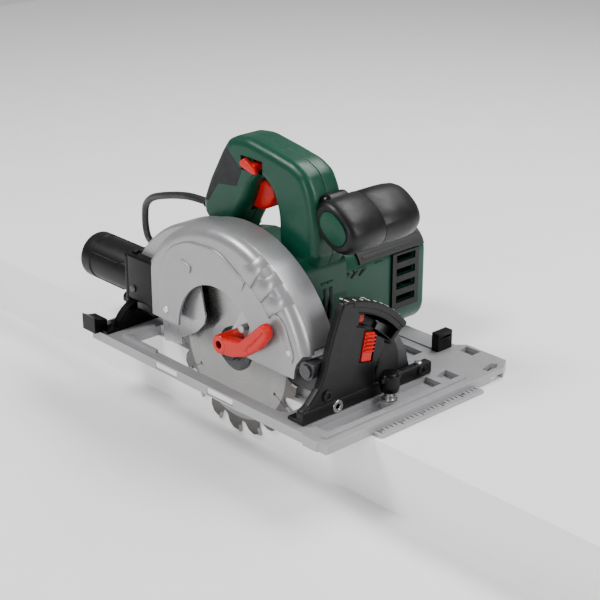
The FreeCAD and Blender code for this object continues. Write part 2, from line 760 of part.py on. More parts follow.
def make_rear_tilt_bracket():
    """The rear foot that rides on the arc slot, and the depth arc that stands behind the guard."""
    radius = num(depth_arc_radius)
    ahead, height = num(pivot_ahead), num(pivot_height)
    high, low = depth_clamp_angle - depth_travel, depth_clamp_angle
    arc = ring_sector("depth_arc", "xz", radius - 9, radius + 9, high - 2.2, low + 3.0, 16.5, 4, ahead, height)
    slot = ring_sector("depth_slot", "xz", radius - 3.1, radius + 3.1, high - 1.1, low + 1.1, 10, 20, ahead, height)
    foot = prism("tilt_foot", "YZ_Plane", [(-9.5, 26.2), (-5.2, 22), (20.5, 22), (20.5, 34.5), (-9.5, 34.5)], -129.5, 21)
    bridge = box("tilt_bridge", (-129.5, 14.5, 22), (58, 6, 12.5))
    whole = fuse("rear_tilt_solid", [arc, foot, bridge])
    y, z = polar(num(rear_slot_radius), 98)
    bolt_hole = rod("tilt_bolt_hole", "x", (-131, y, z), 2.5, 13)
    node("rear_tilt_bracket", cut("rear_tilt_bracket", whole, [slot, bolt_hole]))


def make_bevel_clamp():
    """The rear clamp knob: its bolt passes the arc slot and screws into the tilting foot."""
    y, z = polar(num(rear_slot_radius), 98)
    knob = turned("knob_blank", "x", (-152, y, z), [
        (0, 0), (0, 5), (1, 6), (12.5, 6), (13.5, 5), (13.5, 2.46), (33, 2.46), (33, 0)])
    flutes = []
    for i in range(8):
        across, up = polar(7, 45 * i, y, z)
        flutes.append(rod("knob_flute_%d" % i, "x", (-153, across, up), 1.6, 12))
    node("rear_bevel_clamp", cut("rear_bevel_clamp", knob, flutes))


def make_bevel_slider():
    slider = doc.addObject("Part::Box", "slider_body")
    slider.Length = 3
    slider.Width = 12
    slider.Height = 26
    turn = Rotation(Vector(1, 0, 0), -12)
    slider.Placement = Placement(Vector(num(quadrant_back) + 5, 26, 46), turn)
    parts = [slider]
    for i in range(4):
        rib = doc.addObject("Part::Box", "slider_rib_%d" % i)
        rib.Length = 2.5
        rib.Width = 12
        rib.Height = 2.2
        start = turn.multVec(Vector(0, 0, 10 + 3.8 * i)) + Vector(num(quadrant_back) + 7.5, 26, 46)
        rib.Placement = Placement(start, turn)
        parts.append(rib)
    node("bevel_stop_slider", fuse("bevel_stop_slider", parts))


def make_guide_clamp():
    stem = turned("clamp_stem", "z", (139, 49, 0.5), [
        (0, 0), (0, 3), (8.7, 3), (8.7, 7), (10.2, 7), (10.2, 5), (13, 5), (13, 4), (25, 4), (25, 0)])
    node("guide_clamp_screw", stem)
    hub = turned("clamp_hub", "z", (139, 49, 17), [
        (0, 4), (0, 7.5), (6, 8.5), (15, 8.5), (17, 6.5), (17, 0), (8.5, 0), (8.5, 4)])
    wing = box("clamp_wing", (136, 40, 27), (6, 18, 6.5))
    node("guide_clamp_knob", fuse("guide_clamp_knob", [hub, wing]))


def make_groove_cap():
    block = box("cap_block", (94, groove_centre - 9, base_thick), (8, 18, 17))
    slit = box("cap_slit", (93, groove_centre - 7, 20.5), (10, 14, 2))
    node("groove_cap", cut("groove_cap", block, [slit]))


# ---------------------------------------------------------------- guards

def guard_region(radius, across, up, start, length):
    """A disc along y, as a plain Part shape."""
    return Part.makeCylinder(radius, length, Vector(across, start, up), Vector(0, 1, 0))


def outline_solid(points, start, length):
    """A straight-sided outline in the xz plane, extruded along y."""
    return flat_face(points, "xz", start).extrude(Vector(0, length, 0))


def make_guard_cover():
    """The near shell: a dished disc with a rolled edge, open at the bottom, with the arched cut-out."""
    near, split, wall = num(guard_near), num(guard_split), num(guard_wall)
    radius, height = num(guard_radius), num(arbor_height)
    roll = 10.5
    outer = guard_region(radius, 0, height, near, split - near)
    edge = [i for i in range(len(outer.Edges)) if abs(outer.Edges[i].BoundBox.YMax - near) < 0.01
            and outer.Edges[i].BoundBox.YLength < 0.01]
    outer = outer.makeFillet(roll, [outer.Edges[i] for i in edge])
    inner = guard_region(radius - wall, 0, height, near + wall, split - near)
    edge = [i for i in range(len(inner.Edges)) if abs(inner.Edges[i].BoundBox.YMax - near - wall) < 0.01
            and inner.Edges[i].BoundBox.YLength < 0.01]
    inner = inner.makeFillet(roll - wall, [inner.Edges[i] for i in edge])
    shell = outer.cut(inner)
    bottom = num(guard_bottom)
    below = Part.makeBox(400, 80, 300, Vector(-200, -60, bottom - 300))
    arch = guard_region(num(arch_radius), 0, num(arch_height), near - 5, 12)
    keep = outline_solid([(44, 30), (80, 30), (80, 95), (44, 95), (44, 66), (37, 40)], near - 6, 14)
    arch = arch.cut(keep)
    rear = Part.makeBox(60, 40, 50, Vector(-150, near - 5, bottom - 1))
    for tool in (below, arch, rear):
        shell = shell.cut(tool)
    front = outline_solid([(96, 20), (130, 20), (130, 58), (106, 58), (101, 50), (99, 44)], near - 5, 30)
    shell = shell.cut(front)
    node("guard_cover", shaped("guard_cover", shell.removeSplitter()))


def depth_clamp_spot():
    """Where the depth clamp's bolt stands at full depth, in the xz plane."""
    return polar(num(depth_arc_radius), depth_clamp_angle, num(pivot_ahead), num(pivot_height))


def make_guard_housing():
    """The far shell: the blade housing's back wall and rim, the dust duct, the pivot barrel and the spindle neck."""
    split, far, wall = num(guard_split), num(guard_far), num(guard_wall)
    height, bottom = num(arbor_height), num(guard_bottom)
    ahead, pivot = num(pivot_ahead), num(pivot_height)
    rear_half = Part.makeBox(200, 60, 300, Vector(-200, -30, 0))

    def dish(inset, start, end):
        disc = guard_region(num(guard_radius) - inset, 0, height, start, end - start)
        duct = guard_region(num(duct_radius) - inset, num(duct_back), num(duct_height), start, end - start)
        return disc.fuse(duct.common(rear_half)).removeSplitter()

    shell = dish(0, split, far).cut(dish(wall, split - 1, far - wall))
    below = Part.makeBox(400, 80, 300, Vector(-200, -60, bottom - 300))
    rear = Part.makeBox(60, 60, 120, Vector(-184, -30, bottom - 1))
    front = outline_solid([(101, 20), (135, 20), (135, 62), (108, 62), (103, 52)], -30, 60)
    for tool in (below, rear, front):
        shell = shell.cut(tool)

    neck = guard_region(num(neck_radius) - 0.6, 0, height, 5.6, far - 5.6)
    clamp_x, clamp_z = depth_clamp_spot()
    ear = outline_solid([(clamp_x - 11, 37), (clamp_x - 11, clamp_z - 8), (clamp_x + 11, clamp_z - 8),
                         (clamp_x + 11, 37)], far - wall, wall)
    apron = outline_solid([(-34, 37), (-34, 12), (-25, 2), (25, 2), (34, 12), (34, 37)], far - wall, wall)
    barrel = guard_region(num(pivot_barrel), ahead, pivot, -6.2, 32.4)
    arm = outline_solid([(88, 38), (111, 39.2), (111, 54.8), (96, 66), (84, 60)], far - 6, 6)
    for piece in (apron, neck, barrel, arm, ear):
        shell = shell.fuse(piece)
    shell = shell.cut(guard_region(17.5, 0, height, 0, 40))
    shell = shell.cut(guard_region(num(pivot_pin), ahead, pivot, -20, 60))
    node("guard_housing", shaped("guard_housing", shell.removeSplitter()))


def make_lower_guard():
    """The swinging shield, drawn swung back inside the upper guard."""
    height = num(arbor_height)
    near, far, wall = num(shield_near), num(shield_far), num(shield_wall)
    radius = num(shield_radius)
    first, last = 14.0, 191.0
    rim = ring_sector("shield_rim", "xz", radius - wall, radius, first, last, near, far - near, 0, height)
    near_wall = ring_sector("shield_near_wall", "xz", 62, radius, first, last, near, wall, 0, height)
    far_wall = ring_sector("shield_far_wall", "xz", 28, radius, first, last, far - wall, wall, 0, height)
    hub = ring("shield_hub", "y", (0, far - wall - 1, arbor_height), neck_radius + 0.06 - 0.6, 30, wall + 1)
    cheek = prism("shield_cheek", "XZ_Plane", [(-34, 80), (-27, 49), (-29, 42), (-40, 31), (-57, 21), (-80, 13),
                                               (-86.2, 13), (-86, 25), (-70, 70)], near, wall)
    arm = prism("shield_arm", "XZ_Plane", [polar(17, 78, 0, height), polar(66, 62, 0, height),
                                           polar(70, 44, 0, height), polar(22, 20, 0, height)], near, wall)
    for piece in (rim, near_wall, far_wall):
        piece.Label = piece.Name
    node("lower_guard", fuse("lower_guard", [rim, near_wall, far_wall, hub, cheek, arm]))


def make_guard_lever():
    """The red lever on the swinging guard, with its screw and its rest pin."""
    top = num(shield_near)
    boss = rod("lever_boss", "y", (17, -34, 44), 8.5, 34 + top)
    grip = prism("lever_arm", "XZ_Plane", [(11, 50), (9, 40), (17, 35.5), (34, 39), (56, 49), (76, 62), (88, 76),
                                           (86, 84), (79, 87), (62, 73), (44, 62), (28, 55)], -34, 9)
    hole = rod("lever_bore", "y", (17, -36, 44), 3.6, 12.4)
    screw_hole = rod("lever_screw_hole", "y", (17, -30, 44), 2, 30)
    base_room = box("lever_base_room", (0, -30.6, 30), (60, 8.2, 9.6))
    node("guard_lever", cut("guard_lever", fuse("lever_solid", [boss, grip]), [hole, screw_hole, base_room]))
    node("lever_screw", cap_screw("lever_screw", "y", (17, -23.6, 44), -1, 1.98, 9, 3.5, 2.2))
    pin = turned("lever_rest_pin", "y", (35.5, -25, 61.5), [(0, 0), (0, 3.6), (11, 3.6), (13, 2.6), (13, 0)])
    node("lever_rest_pin", pin)


def make_dust_adapter():
    """The extraction nozzle: a block against the guard's open end and the round hose port."""
    block = box("adapter_block", (-126, guard_near, 41), (36, guard_split - guard_near - 0.2, 43))
    web = prism("adapter_web", "XZ_Plane", [(-126, 46), (-126, 84), (-112, 84), (-146, 68), (-146, 50)], -16, 7)
    tube = turned("adapter_tube", "x", (port_end, port_across, port_height), [
        (0, port_bore), (0, port_radius), (14, port_radius), (14, port_radius - 1), (76, port_radius - 1),
        (76, port_bore)])
    collar = box("adapter_collar", (-130, guard_near, 36.5), (4.6, 35, 47))
    bore = rod("adapter_bore", "x", (port_end - 2, port_across, port_height), port_bore, 78)
    cavity = rod("adapter_cavity", "x", (port_end + 76, port_across, port_height), port_bore + 1, 8)
    whole = fuse("adapter_solid", [block, web, tube, collar])
    hollow = box("adapter_hollow", (-124, guard_near + 2.5, 44), (40, 8, 36))
    node("dust_adapter", cut("dust_adapter", whole, [bore, cavity, hollow]))


# ---------------------------------------------------------------- motor, gear case and handles

def motor_outline(half, corner, low, offset):
    """The motor housing's section: a square with rounded corners, centred on the housing."""
    centre = num(housing_height)
    wire = Part.makePolygon([Vector(-half, offset, centre - low), Vector(half, offset, centre - low),
                             Vector(half, offset, centre + half), Vector(-half, offset, centre + half),
                             Vector(-half, offset, centre - low)])
    solid = Part.Face(wire).extrude(Vector(0, 10, 0))
    edges = [e for e in solid.Edges if abs(e.tangentAt(e.FirstParameter).y) > 0.99]
    return solid.makeFillet(corner, edges)


def motor_tube(half, corner, low, start, end):
    """A rounded-square tube's outside, from start to end along y."""
    block = motor_outline(half, corner, low, 0)
    face = [f for f in block.Faces if f.BoundBox.YLength < 1e-6 and abs(f.BoundBox.YMin) < 1e-6][0]
    face = face.copy()
    face.translate(Vector(0, start, 0))
    return face.extrude(Vector(0, end - start, 0))


def make_gear_case():
    """The aluminium case round the gear pair, bolted to the guard's back wall."""
    height, axis = num(arbor_height), num(motor_height)
    start, end, wall_start = num(guard_far), 60.0, 46.5

    def section(grow, first, last, floor):
        length = last - first
        low = guard_region(23.2 + grow, 0, height, first, length)
        high = guard_region(26 + grow, 0, axis + 6, first, length)
        sides = outline_solid([(-23.2 - grow, height), (23.2 + grow, height), (26 + grow, axis + 6),
                               (-26 - grow, axis + 6)], first, length)
        whole = low.fuse([high, sides]).removeSplitter()
        return whole.common(Part.makeBox(200, 200, 200, Vector(-100, 0, floor)))

    case = section(2.2, start, end, 0.8).cut(section(0, start + 9, wall_start, 2.2))
    seats = [guard_region(17.5, 0, height, 5, 14), guard_region(11, 0, height, 40, 12.5),
             guard_region(5.5, 0, height, 40, 15), guard_region(12, 0, height, 10, 20),
             guard_region(8, 0, axis, 14.8, 10), guard_region(7, 0, axis, 28, 40)]
    for seat in seats:
        case = case.cut(seat)
    node("gear_case", shaped("gear_case", case.removeSplitter()))


def make_gear_cover():
    """The green shroud between the guard and the motor: it wraps the gear case and carries the handle."""
    start, end = num(guard_far), num(housing_start)
    top = 118.0
    outline = [(-40, 34), (-50, 50), (-50, 96), (-40, top - 4), (-20, top), (60, top), (70, 112), (72, 84), (66, 40),
               (50, 30), (34, 28.5), (-34, 28.5)]
    outer = outline_solid(outline, start, end - start)
    edges = [e for e in outer.Edges if abs(e.tangentAt(e.FirstParameter).y) > 0.99 and e.Vertexes[0].Z > 60]
    outer = outer.makeFillet(7, edges)
    inner = outline_solid([(-36, 20), (-46, 52), (-46, 94), (-38, top - 7), (-20, top - 4), (58, top - 4), (66, 108),
                           (68, 84), (62, 43), (48, 33), (34, 20)], start + 3, end - start + 1)
    shroud = outer.cut(inner)
    shelf = outline_solid([(-44, 85), (-50, 85), (-68, 106), (-68, top), (-36, top), (-44, top - 8)], num(handle_near),
                          num(handle_far) - num(handle_near))
    shroud = shroud.fuse(shelf).removeSplitter()
    room = Part.makeBox(56.8, 60, 60, Vector(-28.4, start - 1, 0))
    room = room.fuse(Part.makeCylinder(28.3, 60, Vector(0, start - 1, num(motor_height) + 6), Vector(0, 1, 0)))
    button = Part.makeCylinder(6.3, 30, Vector(60, 24.5, 68), Vector(1, 0, 0))
    shroud = shroud.cut(room).cut(button)
    node("gear_cover", shaped("gear_cover", shroud.removeSplitter()))


def make_motor_housing():
    half, wall = num(housing_half), num(housing_wall)
    low = num(housing_height) - 10.8
    start, split, end = num(housing_start), num(cap_start), num(housing_end)
    outer = motor_tube(half, 22, low, start, split)
    inner = motor_tube(half - wall, 19, low - wall, start - 1, split + 1)
    slots = []
    for y in (68.5, 76):
        slots.append(Part.makeBox(20, 4, 44, Vector(half - 10, y, 37)))
        slots.append(Part.makeBox(20, 4, 44, Vector(-half - 10, y, 37)))
    flange = motor_tube(half - 1, 21, low - 1, start, start + 4)
    flange = flange.cut(Part.makeCylinder(35, 10, Vector(0, start - 2, num(motor_height)), Vector(0, 1, 0)))
    shell = outer.cut(inner).fuse(flange).removeSplitter()
    for slot in slots:
        shell = shell.cut(slot)
    node("motor_housing", shaped("motor_housing", shell))

    outer = motor_tube(half, 22, low, split, end)
    edge = [e for e in outer.Edges if e.BoundBox.YLength < 1e-6 and e.BoundBox.YMin > end - 0.01]
    outer = outer.makeFillet(5, edge)
    inner = motor_tube(half - wall, 19, low - wall, split - 1, end - wall)
    cap = outer.cut(inner)
    for i in range(4):
        cap = cap.cut(Part.makeBox(20, 24, 7, Vector(half - 10, 148, 40 + 13 * i)))
        cap = cap.cut(Part.makeBox(20, 24, 7, Vector(-half - 10, 148, 40 + 13 * i)))
    carrier = Part.makeCylinder(14, 13, Vector(0, 157, num(motor_height)), Vector(0, 1, 0))
    carrier = carrier.cut(Part.makeCylinder(11, 8, Vector(0, 159.9, num(motor_height)), Vector(0, 1, 0)))
    carrier = carrier.cut(Part.makeCylinder(7, 30, Vector(0, 150, num(motor_height)), Vector(0, 1, 0)))
    spokes = [Part.makeBox(2 * (half - 1), 5, 4, Vector(-half + 1, 160, num(motor_height) - 2))]
    ring_cut = Part.makeCylinder(13, 40, Vector(0, 150, num(motor_height)), Vector(0, 1, 0))
    spokes = [s.cut(ring_cut) for s in spokes]
    stub = Part.makeCylinder(14, end - wall - 168, Vector(0, 168, num(motor_height)), Vector(0, 1, 0))
    stub = stub.cut(Part.makeCylinder(10, 40, Vector(0, 160, num(motor_height)), Vector(0, 1, 0)))
    cap = cap.fuse([carrier, stub] + spokes).removeSplitter()
    node("motor_end_cap", shaped("motor_end_cap", cap))

    frame = Part.makeBox(2.2, 34, 54, Vector(half + 0.02, 144, 34))
    bars = frame
    for i in range(4):
        bars = bars.cut(Part.makeBox(20, 24, 7, Vector(half - 10, 149, 40 + 13 * i)))
    mirror = bars.mirror(Vector(0, 0, 0), Vector(1, 0, 0))
    node("vent_grilles", shaped("vent_grilles", Part.makeCompound([bars, mirror])))


def make_stator():
    axis = num(motor_height)
    core = Part.makeCylinder(34, 40, Vector(0, 92, axis), Vector(0, 1, 0))
    core = core.cut(Part.makeCylinder(num(armature_radius) + 0.8, 60, Vector(0, 80, axis), Vector(0, 1, 0)))
    core = core.common(Part.makeBox(80, 60, 70, Vector(-40, 80, axis - 35)))
    node("stator_core", shaped("stator_core", core))
    low, high = [Part.makeBox(44, 56, 3, Vector(-22, 84, axis + z)) for z in (-37.2, 34.2)]
    node("field_windings", shaped("field_windings", Part.makeCompound([low, high])))
    holders = []
    for side in (-1, 1):
        tube = Part.makeBox(22, 10, 10, Vector(14 if side > 0 else -36, 141, axis - 5))
        tube = tube.cut(Part.makeBox(60, 6.2, 6.2, Vector(-30, 142.9, axis - 3.1)))
        holders.append(tube)
    node("brush_holders", shaped("brush_holders", Part.makeCompound(holders)))
    brushes = [Part.makeBox(14, 6, 6, Vector(12.1 if side > 0 else -26.1, 143, axis - 3)) for side in (-1, 1)]
    node("carbon_brushes", shaped("carbon_brushes", Part.makeCompound(brushes)))


def handle_profile():
    """The handle's side view: rear grip, arched top, front post and the two feet on the gear cover."""
    outside = [(-66, 118.2), (-73, 126), (-75, 138), (-65, 160), (-48, 189), (-40, 200), (-30, 205), (-13, 207),
               (18, 202), (44, 197), (58, 190), (66, 176), (72, 150), (74, 124), (73, 118.2)]
    inside = [(26, 118.2), (25, 152), (16, 170), (1, 177), (-8, 165), (-14, 150), (-30, 124), (-34, 118.2)]
    return outside + inside


def make_handle():
    near, split, far = num(handle_near), num(handle_split), num(handle_far)
    whole = outline_solid(handle_profile(), near, far - near)
    trigger_room = Part.makeBox(40, 14, 34, Vector(-30, split - 7, 138))
    cable_room = Part.makeBox(30, 17, 17, Vector(-68, split - 8.5, 118.6))
    cable_hole = Part.makeBox(40, 15.4, 15.4, Vector(-100, split - 7.7, 119.3))
    switch_room = Part.makeBox(22, 20, 30, Vector(-48, split - 10, 142))
    button_room = Part.makeBox(28, 60, 13, Vector(-20, near - 5, 178))
    for room in (trigger_room, cable_room, cable_hole, switch_room, button_room):
        whole = whole.cut(room)
    skin = outline_solid([(-80, 143), (-70, 174), (-44, 198), (-38, 190), (-50, 170), (-64, 146)], near - 1,
                         far - near + 2)
    node("grip_insert", shaped("grip_insert", skin.common(whole)))
    whole = whole.cut(skin)
    for name, start, end in (("handle_shell_near", near, split), ("handle_shell_far", split, far)):
        half = whole.common(Part.makeBox(400, end - start, 400, Vector(-200, start, 0)))
        node(name, shaped(name, half.removeSplitter()))


def make_controls():
    split = num(handle_split)
    trigger = outline_solid([(-24, 142), (-8, 141), (4, 147), (9, 156), (6, 166), (-2, 170), (-10, 168), (-20, 160)],
                            split - 6.8, 13.6)
    trigger = trigger.common(Part.makeBox(36, 20, 33, Vector(-26, split - 10, 138.5)))
    node("trigger", shaped("trigger", trigger))
    rod_part = Part.makeBox(12, 44, 7, Vector(-11, 22, 180))
    near_pad = Part.makeBox(22, 4, 11, Vector(-17, 21, 178.5))
    far_pad = Part.makeBox(22, 4, 11, Vector(-17, 63, 178.5))
    node("lock_off_button", shaped("lock_off_button", rod_part.fuse([near_pad, far_pad]).removeSplitter()))
    body = Part.makeBox(16, 18, 24, Vector(-46, split - 9, 144))
    node("switch_module", shaped("switch_module", body))
    button = rod("lock_button_stem", "x", (64, 24.5, 68), 6, 13)
    node("spindle_lock_button", button)


def bar_section(length_scale, offset):
    """The front handle's section: a slanted oblong, as a closed wire at an offset along y."""
    half_long, half_short = 26.0 * length_scale, 18.5 * length_scale
    straight = half_long - half_short
    ahead, height = num(bar_ahead), num(bar_height)
    turn = math.radians(bar_slope)

    def spot(u, v):
        return Vector(ahead + u * math.cos(turn) - v * math.sin(turn), offset,
                      height + u * math.sin(turn) + v * math.cos(turn))

    edges = [Part.LineSegment(spot(-straight, half_short), spot(straight, half_short)).toShape(),
             Part.Arc(spot(straight, half_short), spot(half_long, 0), spot(straight, -half_short)).toShape(),
             Part.LineSegment(spot(straight, -half_short), spot(-straight, -half_short)).toShape(),
             Part.Arc(spot(-straight, -half_short), spot(-half_long, 0), spot(-straight, half_short)).toShape()]
    return Part.Wire(edges)


def make_front_handle():
    start, joint, end = num(bar_start), num(bar_joint), num(bar_end)
    core = Part.makeLoft([bar_section(0.94, start), bar_section(1.0, start + 6), bar_section(1.0, joint)], True, True)
    post = outline_solid(handle_profile(), num(handle_near) - 1, 40)
    core = core.cut(post)
    plug_room = Part.Face(bar_section(0.62, start - 1)).extrude(Vector(0, 4, 0))
    core = core.cut(plug_room)
    node("front_handle_core", shaped("front_handle_core", core.removeSplitter()))
    cap = Part.makeLoft([bar_section(1.0, joint), bar_section(0.98, end - 14), bar_section(0.9, end - 4),
                         bar_section(0.74, end)], True, True)
    node("front_handle_cap", shaped("front_handle_cap", cap))
    plug = Part.Face(bar_section(0.62, start - 1)).extrude(Vector(0, 4, 0))
    plug = plug.cut(post)
    node("front_handle_plug", shaped("front_handle_plug", plug))


def make_bumper():
    """The grey pad on the motor housing's upper front edge."""
    across, up = num(housing_half) - 22, num(housing_height) + num(housing_half) - 22
    strip = ring_sector("motor_bumper", "xz", 22.02, 24, 18, 80, 104, 82, across, up)
    node("motor_bumper", strip)


def make_depth_clamp():
    """The lever that locks the depth: its bolt stands through the arc's slot, its foot on the guard."""
    x, z = depth_clamp_spot()
    bolt = rod("clamp_bolt", "y", (x, num(guard_far), z), 2.9, 30)
    hub = rod("clamp_lever_hub", "y", (x, 21, z), 8, 10)
    handle = prism("clamp_lever_arm", "XZ_Plane", [(x - 6, z), (x + 6, z), (x + 3, z + 38), (x - 5, z + 38)], 25, 6)
    lever = cut("depth_clamp_solid", fuse("clamp_lever_solid", [hub, handle]), [bolt])
    node("depth_clamp_lever", lever)
    node("depth_clamp_bolt", rod("depth_clamp_bolt", "y", (x, guard_far, z), 2.86, 22))


def make_return_spring():
    """The coil spring round the spindle neck that swings the lower guard shut, as its outer solid."""
    node("guard_spring", ring("guard_spring", "y", (0, 9.15, arbor_height), neck_radius - 0.4, 26, 2.2))


# ---------------------------------------------------------------- cord

CORD_ROUTE = [(-90, 44, 127), (-110, 44, 127), (-139, 50, 120), (-169, 56, 111), (-197, 62, 101), (-218, 70, 87),
              (-233, 80, 69), (-249, 92, 49), (-265, 107, 28), (-280, 129, 11), (-283, 153, 3.7)]
TAIL_ROUTE = [(-191.3, 96, 22), (-215, 87.5, 18), (-239, 81, 13), (-262, 81, 13)]


def rounded_path(points):
    """Straight runs joined by tangent arcs, each arc as large as its two runs allow."""
    spots = [Vector(*p) for p in points]
    edges, radii = [], []
    last = spots[0]
    for before, here, after in zip(spots, spots[1:], spots[2:]):
        a = (before - here)
        b = (after - here)
        reach = 0.45 * min(a.Length, b.Length)
        turn = math.pi - a.getAngle(b)
        radii.append(reach / math.tan(turn / 2))
        start = here + a.normalize() * reach
        end = here + b.normalize() * reach
        bisector = ((start + end) * 0.5 - here).normalize()
        centre_far = radii[-1] / math.cos(turn / 2)
        middle = here + bisector * (centre_far - radii[-1])
        edges.append(Part.LineSegment(last, start).toShape())
        edges.append(Part.Arc(start, middle, end).toShape())
        last = end
    edges.append(Part.LineSegment(last, spots[-1]).toShape())
    return Part.Wire(edges), radii


def cord_tube(name, points):
    path, radii = rounded_path(points)
    radius = num(cord_radius)
    start = path.Edges[0]
    section = Part.Wire(Part.makeCircle(radius, Vector(*points[0]), start.tangentAt(start.FirstParameter)))
    solid = path.makePipeShell([section], True, False)
    wanted = math.pi * radius ** 2 * path.Length
    print(name, "radii", [round(r) for r in radii], "length", round(path.Length), "volume share",
          round(solid.Volume / wanted, 4))
    return node(name, shaped(name, solid))


def make_cord():
    cord_tube("cord_lead", CORD_ROUTE)
    coil_x, coil_y = -217.5, 152
    coil = ring("cord_coil", "z", (coil_x, coil_y, 0), coil_inner, coil_outer, coil_height)
    node("cord_coil", coil)
    cord_tube("cord_tail", TAIL_ROUTE)
    plug = turned("plug_body", "x", (-302, 81, 13), [(0, 0), (0, 12), (4, 13), (26, 12), (38, 6), (40, 4), (40, 0)])
    pins = [rod("plug_pin_%d" % i, "x", (-321, y, 13), 2.4, 19.5) for i, y in enumerate((71.5, 90.5))]
    node("mains_plug", fuse("mains_plug", [plug] + pins))
    relief = turned("strain_relief", "x", (-90, 44, 127), [(0, 0), (0, 4.9), (22, 7.5), (22.5, 8.3), (26, 8.3), (26, 0)])
    node("strain_relief", relief)


def build():
    make_blade()
    make_carbide_tips()
    make_spindle_parts()
    make_gears()
    make_armature_parts()
    make_bearings()
    make_base()
    make_quadrant()
    make_rear_bracket()
    make_bracket_screws()
    make_front_tilt_bracket()
    make_rear_tilt_bracket()
    make_bevel_clamp()
    make_bevel_slider()
    make_guide_clamp()
    make_groove_cap()
    make_guard_cover()
    make_guard_housing()
    make_lower_guard()
    make_guard_lever()
    make_dust_adapter()
    make_gear_case()
    make_gear_cover()
    make_motor_housing()
    make_stator()
    make_handle()
    make_controls()
    make_front_handle()
    make_bumper()
    make_depth_clamp()
    make_return_spring()
    make_cord()
    doc.recompute()


def check():
    """Stops the build on a failed object or an empty or invalid shape."""
    problems = []
    for obj in doc.Objects:
        if "Invalid" in obj.State or "Error" in obj.State:
            problems.append("%s is %s" % (obj.Name, obj.State))
    for name, obj in NODES.items():
        if obj.Shape.isNull() or not obj.Shape.isValid() or not obj.Shape.Solids:
            problems.append(name + " has no valid shape")
    if problems:
        raise RuntimeError("; ".join(problems))


def write():
    os.makedirs("parts", exist_ok=True)
    for name in os.listdir("parts"):
        if name.endswith(".step") and name[:-5] not in NODES:
            os.remove(os.path.join("parts", name))
    for name, obj in NODES.items():
        obj.Shape.exportStep("parts/%s.step" % name)
    print(len(NODES), "nodes")


build()
check()
write()
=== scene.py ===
import math

import bmesh
import bpy
from mathutils import Matrix, Vector


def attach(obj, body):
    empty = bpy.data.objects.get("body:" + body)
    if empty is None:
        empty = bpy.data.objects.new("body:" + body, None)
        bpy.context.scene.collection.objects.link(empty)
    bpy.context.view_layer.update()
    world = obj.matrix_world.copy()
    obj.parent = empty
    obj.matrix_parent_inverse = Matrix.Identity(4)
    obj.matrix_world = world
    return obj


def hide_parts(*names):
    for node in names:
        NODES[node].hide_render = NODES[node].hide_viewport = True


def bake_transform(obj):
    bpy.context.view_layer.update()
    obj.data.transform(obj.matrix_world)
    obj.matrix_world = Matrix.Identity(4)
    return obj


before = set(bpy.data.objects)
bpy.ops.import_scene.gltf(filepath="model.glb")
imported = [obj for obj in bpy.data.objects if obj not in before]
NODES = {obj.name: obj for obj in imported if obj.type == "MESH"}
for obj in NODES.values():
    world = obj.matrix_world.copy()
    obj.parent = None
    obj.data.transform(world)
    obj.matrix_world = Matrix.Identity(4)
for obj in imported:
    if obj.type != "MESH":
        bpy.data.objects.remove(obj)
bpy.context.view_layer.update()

MM = 0.001
ARBOR = Vector((0, 0, 25))
HANDLE_NEAR, HANDLE_SEAM, HANDLE_FAR = 25, 44, 63


# ---------------------------------------------------------------- shader building

def start_material(name):
    mat = bpy.data.materials.new(name)
    mat.use_nodes = True
    tree = mat.node_tree
    tree.nodes.clear()
    out = tree.nodes.new("ShaderNodeOutputMaterial")
    bsdf = tree.nodes.new("ShaderNodeBsdfPrincipled")
    tree.links.new(bsdf.outputs["BSDF"], out.inputs["Surface"])
    return mat, tree, bsdf


def noise(tree, scale, detail=4.0, stretch=(1, 1, 1)):
    """Noise fixed to the object, scale in features per metre."""
    coords = tree.nodes.new("ShaderNodeTexCoord")
    mapping = tree.nodes.new("ShaderNodeMapping")
    mapping.inputs["Scale"].default_value = stretch
    tex = tree.nodes.new("ShaderNodeTexNoise")
    tex.inputs["Scale"].default_value = scale
    tex.inputs["Detail"].default_value = detail
    tree.links.new(coords.outputs["Object"], mapping.inputs["Vector"])
    tree.links.new(mapping.outputs["Vector"], tex.inputs["Vector"])
    return tex.outputs["Fac"]


def spread(tree, value, low, high, start=0.3, end=0.7):
    """Maps a noise onto a range."""
    node = tree.nodes.new("ShaderNodeMapRange")
    node.inputs["From Min"].default_value = start
    node.inputs["From Max"].default_value = end
    node.inputs["To Min"].default_value = low
    node.inputs["To Max"].default_value = high
    tree.links.new(value, node.inputs["Value"])
    return node.outputs["Result"]


def blend_colours(tree, factor, first, second, mode="MIX"):
    """A colour mix whose inputs are sockets or plain colours."""
    node = tree.nodes.new("ShaderNodeMix")
    node.data_type = "RGBA"
    node.blend_type = mode
    for socket, value in ((node.inputs[0], factor), (node.inputs[6], first), (node.inputs[7], second)):
        if isinstance(value, bpy.types.NodeSocket):
            tree.links.new(value, socket)
        elif isinstance(value, (int, float)):
            socket.default_value = value
        else:
            socket.default_value = (*value, 1)
    return node.outputs[2]


def worn_edge(tree, radius, strength):
    """A mask for the painted edge highlight: along sharp edges, where the rounded normal leaves the real
    one.
    """
    rounded = tree.nodes.new("ShaderNodeBevel")
    rounded.samples = 4
    rounded.inputs["Radius"].default_value = radius * MM
    geometry = tree.nodes.new("ShaderNodeNewGeometry")
    dot = tree.nodes.new("ShaderNodeVectorMath")
    dot.operation = "DOT_PRODUCT"
    tree.links.new(rounded.outputs["Normal"], dot.inputs[0])
    tree.links.new(geometry.outputs["Normal"], dot.inputs[1])
    return spread(tree, dot.outputs["Value"], strength, 0.0, 0.78, 0.98)


